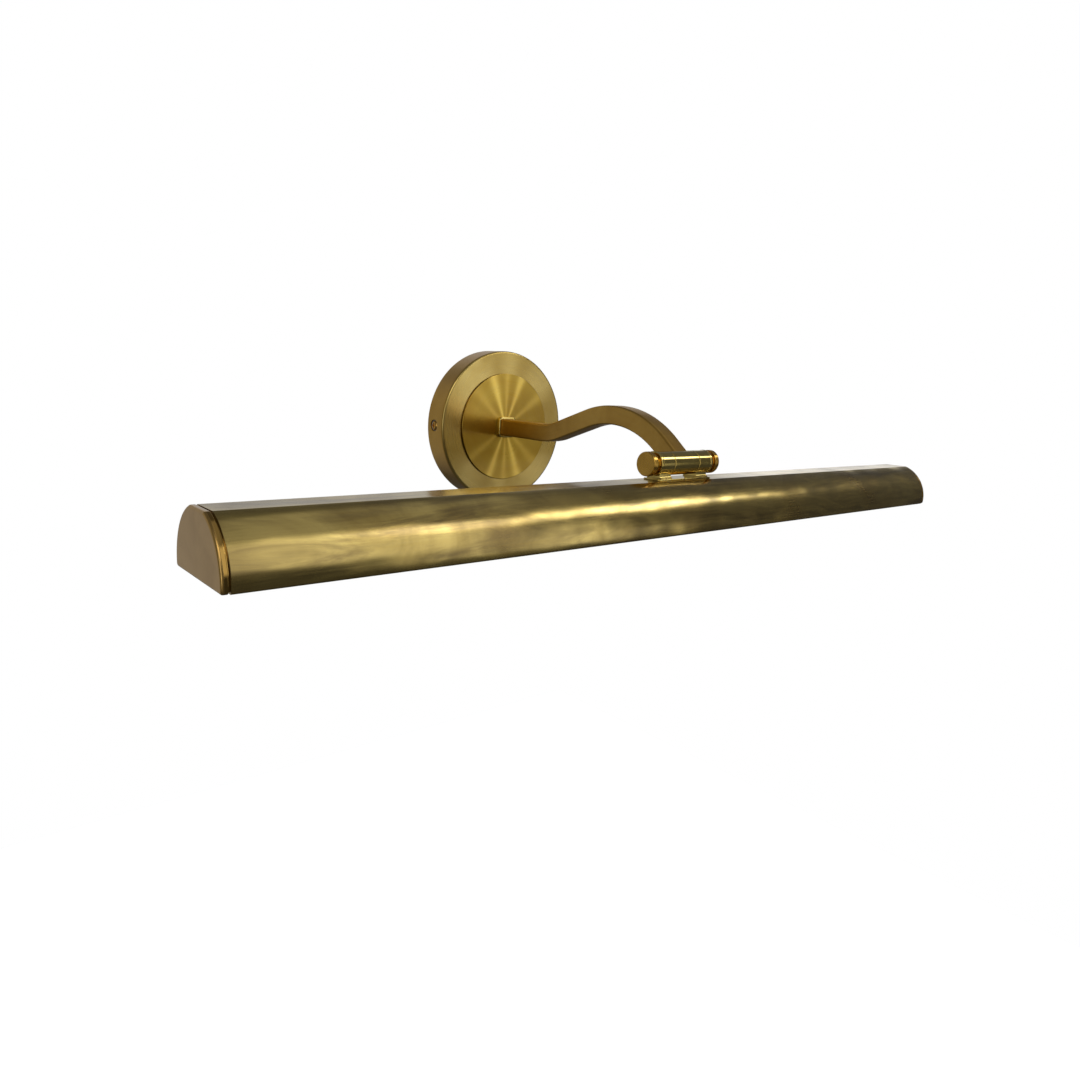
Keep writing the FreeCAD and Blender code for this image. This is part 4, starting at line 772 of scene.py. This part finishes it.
shadeSize = {"radius": 28.2 * mm, "wall": 0.9 * mm, "flatHalf": 9.0 * mm, "skirt": 3.5 * mm, "lip": 5.0 * mm,
             "bend": 0.9 * mm, "crease": 0.5 * mm, "screwInset": 3.55 * mm, "screwHole": 2.0 * mm,
             "patchX": 3.2 * mm, "patchY": 2.05 * mm, "cells": 14, "holeStart": 4 / 7, "steps": 72,
             "sections": 26, "sheetEdge": 0.12 * mm}
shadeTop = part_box("shade_shell")[1].z
flatRise = math.sqrt(shadeSize["radius"] ** 2 - shadeSize["flatHalf"] ** 2)
shadeMiddle = shadeTop - flatRise
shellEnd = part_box("shade_shell")[1].x
shadeFoot = math.sqrt(shadeSize["radius"] ** 2 - shadeSize["skirt"] ** 2)
lipScrewX = shellEnd - shadeSize["screwInset"]
lipScrewY = shadeFoot - shadeSize["lip"] + shadeSize["patchY"]


# half of the D-shaped section, from its foot up to the flat: a small arc, the big round, a small arc
def sideArcs(radius, rise, drop, bend, crease, steps, first=-90):
    low = math.sqrt((radius - bend) ** 2 - (drop - bend) ** 2)
    high = math.sqrt((radius - crease) ** 2 - (rise - crease) ** 2)
    lowAngle = math.degrees(math.atan2(bend - drop, low))
    highAngle = math.degrees(math.atan2(rise - crease, high))
    return [(low, bend - drop, bend, first, lowAngle, 8), (0, 0, radius, lowAngle, highAngle, steps),
            (high, rise - crease, crease, highAngle, 90, 6)]


# the same arcs seen in a mirror, in the opposite order
def mirrored(arcs):
    return [(-u, v, radius, 180 - last, 180 - first, steps)
            for u, v, radius, first, last, steps in arcs[::-1]]


# the trough's sheet: the section along X, with a hole for each end-cap screw in its lips
def makeShell():
    size = shadeSize
    sides = sideArcs(size["radius"], flatRise, size["skirt"], size["bend"], size["crease"], size["steps"])
    lipRows = np.linspace(lipScrewY - size["patchY"], lipScrewY + size["patchY"], size["cells"] + 1)
    lip = np.stack([lipRows, np.full(len(lipRows), -size["skirt"])], axis=1)
    body = arcLine(*sides, *mirrored(sides))
    section = np.concatenate([lip, body, lip[::-1] * (-1, 1)])
    patch = np.linspace(lipScrewX - size["patchX"], lipScrewX + size["patchX"], size["cells"] + 1)
    between = np.linspace(-patch[0], patch[0], size["sections"])[1:-1]
    columns = np.concatenate([[-shellEnd], -patch[::-1], between, patch, [shellEnd]])[::-1]
    across, along = np.meshgrid(section[:, 0], columns, indexing="ij")
    mask = np.ones((len(section) - 1, len(columns) - 1), bool)
    onLip = np.arange(len(section) - 1) < size["cells"]
    for sideY, rows in ((1, onLip), (-1, onLip[::-1])):
        rowPoints = np.concatenate([rows, [False]]) | np.concatenate([[False], rows])
        for sideX in (-1, 1):
            newAlong, newAcross, keep = punchHole(
                along, across, (sideX * lipScrewX, sideY * lipScrewY), (size["patchX"], size["patchY"]),
                size["screwHole"], size["holeStart"])
            along = np.where(rowPoints[:, None], newAlong, along)
            across = np.where(rowPoints[:, None], newAcross, across)
            mask &= keep | ~rows[:, None]
    up = np.broadcast_to(section[:, 1, None], across.shape)
    points = np.stack([along, hinge.y + across, shadeMiddle + up], axis=2)
    u, v = np.meshgrid(columns, travelled(section))
    grid = {"points": points, "uv": np.stack([u, v], axis=2), "mask": mask}
    piece = makePiece("shadeShell", [grid], shadeBody, ["shade_shell"], agedBrass,
                      closed=False, smooth=50)
    thicken(piece, size["wall"], size["sheetEdge"])


makeShell()

lipScrewSize = {"head": 1.9 * mm, "shank": 1.3 * mm, "length": 4.0 * mm}


# small heads sunk in the lips' holes, one at each corner
def makeLipScrews():
    level = shadeMiddle - shadeSize["skirt"] + shadeSize["wall"]
    grids = []
    for sideX, sideY in ((-1, -1), (-1, 1), (1, -1), (1, 1)):
        under = (sideX * lipScrewX, hinge.y + sideY * lipScrewY, level)
        grids.append(panHead(lipScrewSize["head"], shadeSize["wall"], under, (0, 0, -1)))
        grids.append(shank(lipScrewSize["shank"], lipScrewSize["length"], under, (0, 0, -1)))
    makePiece("lipScrews", grids, shadeBody, ["end_cap_screws"], machinedBrass)


makeLipScrews()

capSize = {"thickness": 3.0 * mm, "edge": 1.3 * mm, "backEdge": 0.25 * mm, "foot": 1.9 * mm,
           "crease": 1.8 * mm, "flatRow": 0.2 * mm, "spigotWall": 1.2 * mm, "spigotGap": 0.1 * mm,
           "spigotBend": 0.2 * mm, "spigotCrease": 0.4 * mm, "spigotEdge": 0.1 * mm, "root": 0.5 * mm,
           "earWidth": 5.2 * mm, "earHeight": 5.0 * mm}

# pressed and brushed upright: flat, browner than the shell, with an even satin shine; its rounded rim is polished
# and darkened as painted shade
endCapBrass = metal("brassPressedSatin", {
    "light": "#c9a055", "dark": "#b38a42", "worn": "#dabd84", "cloud": 26, "along": 30, "across": 0.4,
    "lineTint": 0.25, "rough": (0.26, 0.36), "smoke": 0.04, "bump": 0.3, "stretch": 0.3, "brush": True,
    "swell": 40, "swellHeight": 0.03, "lacquer": 0.2,
    # the rim's darker colour is painted shade
    "rim": {"start": shellEnd + 2.3 * mm, "end": shellEnd + 2.8 * mm, "rough": 0.1, "color": "#a5823f"}})


# a D-shaped face with a rounded rim, a channel that enters the shell and an ear over each lip
def makeEndCap(name, node, side):
    back, face = reachOf(node, side)
    axes, centre = ((0, side, 0), (0, 0, 1), (side, 0, 0)), (0, hinge.y, shadeMiddle)
    half = sideArcs(shadeSize["radius"], flatRise, shadeSize["skirt"], capSize["foot"], capSize["crease"], 60)
    inner, edge = face - capSize["thickness"], (capSize["backEdge"], capSize["edge"])
    grids = [prism(arcLine(*half, *mirrored(half)), inner, face, edge, axes, centre, 6, capSize["flatRow"])]
    inset, wall, bend = shadeSize["wall"] + capSize["spigotGap"], capSize["spigotWall"], capSize["spigotBend"]
    outer, rise, drop = shadeSize["radius"] - inset, flatRise - inset, shadeSize["skirt"] - inset
    outside = sideArcs(outer, rise, drop, bend, capSize["spigotCrease"], 40, 0)
    inside = sideArcs(outer - wall, rise - wall, drop, bend, bend, 40, 0)
    outlines = [np.concatenate([arcLine(*outside, *mirrored(outside)),
                                arcLine(*inside, *mirrored(inside))[::-1]])]
    earEdge, earTop = math.sqrt(outer ** 2 - drop ** 2) - wall / 2, capSize["earHeight"] - drop
    earRoot = earEdge - capSize["earWidth"]
    for near, far in ((-earEdge, -earRoot), (earRoot, earEdge)):
        outlines.append(np.array([[near, -drop], [far, -drop], [far, earTop], [near, earTop]]))
    grids += [prism(outline, back, inner + capSize["root"], capSize["spigotEdge"], axes, centre, 2)
              for outline in outlines]
    makePiece(name, grids, shadeBody, [node], endCapBrass)


makeEndCap("leftEndCap", "left_end_cap", -1)
makeEndCap("rightEndCap", "right_end_cap", 1)

reflectorSize = {"thickness": 0.6 * mm, "flatHalf": 8.0 * mm, "footHalf": 21.6 * mm,
                 "footLength": 3.6 * mm, "bend": 1.2 * mm, "sections": 25}


# folded sheet: foot, slope, flat, slope and foot, with each fold a small arc
def makeReflector():
    low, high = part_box("reflector")
    size = reflectorSize
    top, floor = high.z, low.z + size["thickness"]
    slope = math.degrees(math.atan2(top - floor, size["footHalf"] - size["flatHalf"]))
    bend = size["bend"]
    cutBack = bend * math.tan(math.radians(slope / 2))
    right = [corner(size["footHalf"] + size["footLength"], floor),
             (size["footHalf"] + cutBack, floor + bend, bend, 270, 270 - slope, 6),
             (size["flatHalf"] - cutBack, top - bend, bend, 90 - slope, 90, 6)]
    section = arcLine(*right, *mirrored(right))
    columns = np.linspace(high.x, low.x, size["sections"])
    across, along = np.meshgrid(section[:, 0], columns, indexing="ij")
    up = np.broadcast_to(section[:, 1, None], across.shape)
    points = np.stack([along, hinge.y + across, up], axis=2)
    u, v = np.meshgrid(columns, travelled(section))
    piece = makePiece("whiteReflector", [{"points": points, "uv": np.stack([u, v], axis=2)}], shadeBody,
                      ["reflector"], whiteEnamel, closed=False, smooth=50)
    thicken(piece, size["thickness"])


makeReflector()
print("shade made")

# lamps

lampSize = {"wall": 0.8 * mm, "neck": 6.2 * mm, "shoulder": 9.0 * mm, "coilTurns": 34, "coilRadius": 0.9 * mm,
            "coilStart": 14.0 * mm, "coilEnd": 16.0 * mm, "wire": 0.12 * mm, "post": 0.3 * mm, "tip": 2 * mm}


# glass tube: a neck, a shoulder of two arcs and a domed end, outside and inside as one closed profile
def makeGlass(number, side):
    node = f"lamp_glass_{number}"
    start, end = reachOf(node, side)
    radius, centre = roundOf(node)
    wall, neck = lampSize["wall"], lampSize["neck"]
    shoulder, thin = start + lampSize["shoulder"], radius - wall
    turn = radius - neck
    half = turn / 2
    outside = arcLine(corner(start, neck), (shoulder - turn, neck + half, half, 270, 360, 8),
                      (shoulder, radius - half, half, 180, 90, 8), (end - radius, 0, radius, 90, 0, 24))
    inside = arcLine((end - radius, 0, thin, 0, 90, 24), (shoulder, radius - half, half - wall, 90, 180, 6),
                     (shoulder - turn, neck + half, half + wall, 360, 270, 6), corner(start, neck - wall))
    profile = np.concatenate([outside, inside, outside[:1]])
    makePiece(f"lampGlass{number}", [lathe(profile, centre, (side, 0, 0), 96)], shadeBody, [node],
              clearGlass, smooth=40)


holderSize = {"back": 4.6 * mm, "backBore": 5.1 * mm, "floor": 9.0 * mm, "bore": 8.2 * mm, "edge": 1.5 * mm,
              "rimEdge": 0.6 * mm, "ribStart": (4.0 * mm, 5.0 * mm), "ribEnd": (6.0 * mm, 5.0 * mm),
              "rib": 0.35 * mm, "ribs": 24, "columns": 240}


# moulded holder: a turned body whose outside sinks with the cosine of the angle, which ribs it
def makeHolder(number, side):
    node, size = f"lampholder_{number}", holderSize
    start, end = reachOf(node, side)
    radius, centre = roundOf(node)
    edge, rim = size["edge"], size["rimEdge"]
    ribStops = [start + reach for reach in size["ribStart"]] + [end - reach for reach in size["ribEnd"]]
    profile = arcLine(corner(start + size["back"], 0), corner(start + size["back"], size["backBore"]),
                      corner(start, size["backBore"]), (start + edge, radius - edge, edge, 180, 90, 6),
                      *[corner(stop, radius) for stop in ribStops], (end - rim, radius - rim, rim, 90, 0, 4),
                      corner(end, size["bore"]), corner(start + size["floor"], size["bore"]),
                      corner(start + size["floor"], 0))
    grid = lathe(profile, centre, (side, 0, 0), size["columns"])
    ribbed = np.isin(profile[:, 0], ribStops[1:3]) & (profile[:, 1] > size["bore"])
    turn = np.linspace(0, 2 * np.pi, size["columns"] + 1)
    sink = size["rib"] * (0.5 - 0.5 * np.cos(turn * size["ribs"]))
    outward = grid["points"] - np.array(centre)
    outward[..., 0] = 0
    outward /= np.maximum(np.linalg.norm(outward, axis=2)[..., None], 1e-9)
    grid["points"] = grid["points"] - outward * (ribbed[:, None] * sink[None])[..., None]
    makePiece(f"lampHolder{number}", [grid], shadeBody, [node], creamHolder, smooth=40)


# coiled wire between two posts: the coil's middle goes round the lamp's axis, and a small circle goes round
# the coil
def makeFilaments(lamps):
    grids = []
    ringTurn = np.linspace(0, 2 * np.pi, 7)
    section = lampSize["wire"] * np.stack([np.cos(ringTurn), np.sin(ringTurn)], axis=1)
    share = np.linspace(0, 1, lampSize["coilTurns"] * 12 + 1)
    turn = share * lampSize["coilTurns"] * 2 * np.pi
    out = np.stack([np.zeros_like(turn), np.cos(turn), np.sin(turn)], axis=1)
    for number, side in lamps:
        node = f"lamp_glass_{number}"
        start, end = reachOf(node, side)
        centre = np.array(roundOf(node)[1])
        first, last = start + lampSize["coilStart"], end - lampSize["coilEnd"]
        line = centre + lampSize["coilRadius"] * out
        line[:, 0] = side * (first + (last - first) * share)
        points = line[:, None] + section[None, :, :1] * out[:, None] + section[None, :, 1:] * (1.0, 0, 0)
        u, v = np.meshgrid(ringTurn * lampSize["wire"], travelled(line))
        grids.append({"points": points, "uv": np.stack([u, v], axis=2), "caps": section})
        for post, tip in ((start, first), (last, last + lampSize["tip"])):
            profile = np.array([[post, 0], [post, lampSize["post"]], [tip, lampSize["post"]], [tip, 0]])
            grids.append(lathe(profile, centre, (side, 0, 0), 12))
    makePiece("lampFilaments", grids, shadeBody, ["lamp_filaments"], tungsten)


lampCapSize = {"contact": 2.4 * mm, "contactEnd": 1.0 * mm, "thread": 3.0 * mm, "rim": 1.2 * mm,
               "edge": 0.5 * mm}


# pressed screw cap: a small contact, a cone of insulation and a straight shell
def makeLampCap(number, side):
    node, size = f"lamp_cap_{number}", lampCapSize
    start, end = reachOf(node, side)
    radius, centre = roundOf(node)
    edge = size["edge"]
    profile = arcLine(corner(start, 0), corner(start, size["contact"]),
                      corner(start + size["contactEnd"], size["contact"]),
                      corner(start + size["thread"], radius), corner(end - size["rim"], radius),
                      (end - edge, radius - edge, edge, 90, 0, 5), corner(end, 0))
    makePiece(f"lampCap{number}", [lathe(profile, centre, (side, 0, 0), 96)], shadeBody, [node],
              lampMetal)


lampSides = [(1, -1), (2, 1), (3, -1), (4, 1)]
for number, side in lampSides:
    makeGlass(number, side)
    makeHolder(number, side)
    makeLampCap(number, side)
makeFilaments(lampSides)
print("lamps made")

# carried-over nodes

nodeMaterials = {
    "zinc_steel": zincSteel, "plain_brass": machinedBrass, "black_rubber": blackRubber,
    "white_nylon": whiteNylon, "white_sheath": whiteSheath, "brown_sheath": brownSheath,
    "blue_sheath": blueSheath, "earth_sheath": earthSheath, "ptfe": ptfe, "spun_brass": spunBrass,
    "arm_brass": brushedBrass, "polished_brass": polishedBrass, "shade_brass": agedBrass,
    "white_enamel": whiteEnamel, "cream_holder": creamHolder, "clear_glass": clearGlass,
    "lamp_metal": lampMetal, "tungsten": tungsten}
for subpart in frame["record"]["subparts"]:
    mesh = frame["nodes"][subpart["node"]].data
    mesh.materials.clear()
    mesh.materials.append(nodeMaterials[subpart["material_slot"]])
print("carried-over nodes finished")

# floor and light

floorSize = {"half": 1.5, "level": -1.1}


def makeFloor():
    half, level = floorSize["half"], floorSize["level"]
    mesh = bpy.data.meshes.new("floor")
    mesh.from_pydata([(-half, -half, level), (half, -half, level), (half, half, level), (-half, half, level)],
                     [], [(0, 1, 2, 3)])
    material, tree = startMaterial("floorPaintedPale")
    place = addNode(tree, "TexCoord")
    clouds = addNode(tree, "TexNoise", {"Vector": place.outputs["Object"], "Scale": 2.0})
    color = addNode(tree, "Mix", {0: clouds.outputs["Fac"], 6: hexColor("#fbfbfa"), 7: hexColor("#f8f8f7")},
                    data_type="RGBA")
    shader = addNode(tree, "BsdfPrincipled", {"Base Color": color.outputs[2], "Roughness": 0.9})
    addNode(tree, "OutputMaterial", {"Surface": shader.outputs[0]})
    mesh.materials.append(material)
    floor = bpy.data.objects.new("floor", mesh)
    bpy.context.scene.collection.objects.link(floor)
    floor.visible_glossy = False    # the metal reflects the dim room, not the floor


makeFloor()

# a large soft light for form and shadow: where it stands, how large, how strong; it faces the shade
panels = {"keyPanel": {"place": (-1.3, -1.6, 1.5), "size": (1.2, 1.2), "power": 9, "color": "#fffaf0"}}


def makeLights():
    for name, panel in panels.items():
        data = bpy.data.lights.new(name, "AREA")
        data.shape = "RECTANGLE"
        data.size, data.size_y = panel["size"]
        data.energy = panel["power"]
        data.color = hexColor(panel["color"])[:3]
        light = bpy.data.objects.new(name, data)
        bpy.context.scene.collection.objects.link(light)
        place = Vector(panel["place"])
        light.location = place
        light.rotation_euler = (Vector((0, hinge.y, 0)) - place).to_track_quat("-Z", "Y").to_euler()


# what the metal reflects: soft panels round a dim room, in degrees (round from the front towards the right,
# and up), each with its half width, half height, soft edge and strength
room = {"ground": 0.07, "ceiling": 0.12, "white": 1.0, "fill": 1.2}
softBoxes = {
    "frontPanel": {"at": (28, 26), "half": (12, 18), "soft": 9, "level": 1.02},
    "plateFill": {"at": (40, -5), "half": (6, 6), "soft": 5, "level": 0.95},
    "keyStrip": {"at": (62, 34), "half": (3.5, 2.5), "soft": 6, "level": 5.6},
    "midStrip": {"at": (46, 39), "half": (4, 3), "soft": 7, "level": 3.8},
    "leftStrip": {"at": (-58, 4), "half": (8, 12), "soft": 8, "level": 1.3},
    "overhead": {"at": (60, 66), "half": (60, 10), "soft": 14, "level": 0.25},
    "rightLow": {"at": (114, 6), "half": (8, 8), "soft": 8, "level": 0.9},
    "backWall": {"at": (152, 12), "half": (18, 16), "soft": 16, "level": 0.42},
    "leftWall": {"at": (-150, 0), "half": (24, 24), "soft": 20, "level": 0.26},
}


def makeWorld():
    world = bpy.data.worlds.new("studio")
    bpy.context.scene.world = world
    world.use_nodes = True
    tree = world.node_tree
    tree.nodes.clear()
    place = addNode(tree, "TexCoord")
    facing = addNode(tree, "SeparateXYZ", {0: place.outputs["Generated"]})
    front = addNode(tree, "Math", {0: facing.outputs["Y"], 1: -1.0}, operation="MULTIPLY")
    turn = addNode(tree, "Math", {0: facing.outputs["X"], 1: front.outputs[0]}, operation="ARCTAN2")
    rise = addNode(tree, "Math", {0: facing.outputs["Z"]}, operation="ARCSINE")
    total = addNode(tree, "MapRange", {"Value": facing.outputs["Z"], "From Min": -0.1, "From Max": 0.5,
                                       "To Min": room["ground"], "To Max": room["ceiling"]}).outputs[0]
    for box in softBoxes.values():
        share = box["level"]
        for angle, at, half in zip((turn, rise), box["at"], box["half"]):
            off = addNode(tree, "Math", {0: angle.outputs[0], 1: math.radians(at)}, operation="SUBTRACT")
            size = addNode(tree, "Math", {0: off.outputs[0]}, operation="ABSOLUTE")
            edge = addNode(tree, "MapRange", {"Value": size.outputs[0], "From Min": math.radians(half),
                                              "From Max": math.radians(half + box["soft"]), "To Min": 1.0,
                                              "To Max": 0.0}, interpolation_type="SMOOTHSTEP")
            share = addNode(tree, "Math", {0: edge.outputs[0], 1: share}, operation="MULTIPLY").outputs[0]
        total = addNode(tree, "Math", {0: total, 1: share}, operation="ADD").outputs[0]
    ray = addNode(tree, "LightPath")
    diffuse = addNode(tree, "Mix", {0: ray.outputs["Is Diffuse Ray"], 2: total, 3: room["fill"]})
    strength = addNode(tree, "Mix", {0: ray.outputs["Is Camera Ray"], 2: diffuse.outputs[0],
                                     3: room["white"]})
    background = addNode(tree, "Background", {"Color": hexColor("#ffffff"), "Strength": strength.outputs[0]})
    addNode(tree, "OutputWorld", {"Surface": background.outputs[0]})
    bpy.context.scene.view_settings.view_transform = "Standard"


makeLights()
makeWorld()
print("floor and light made")
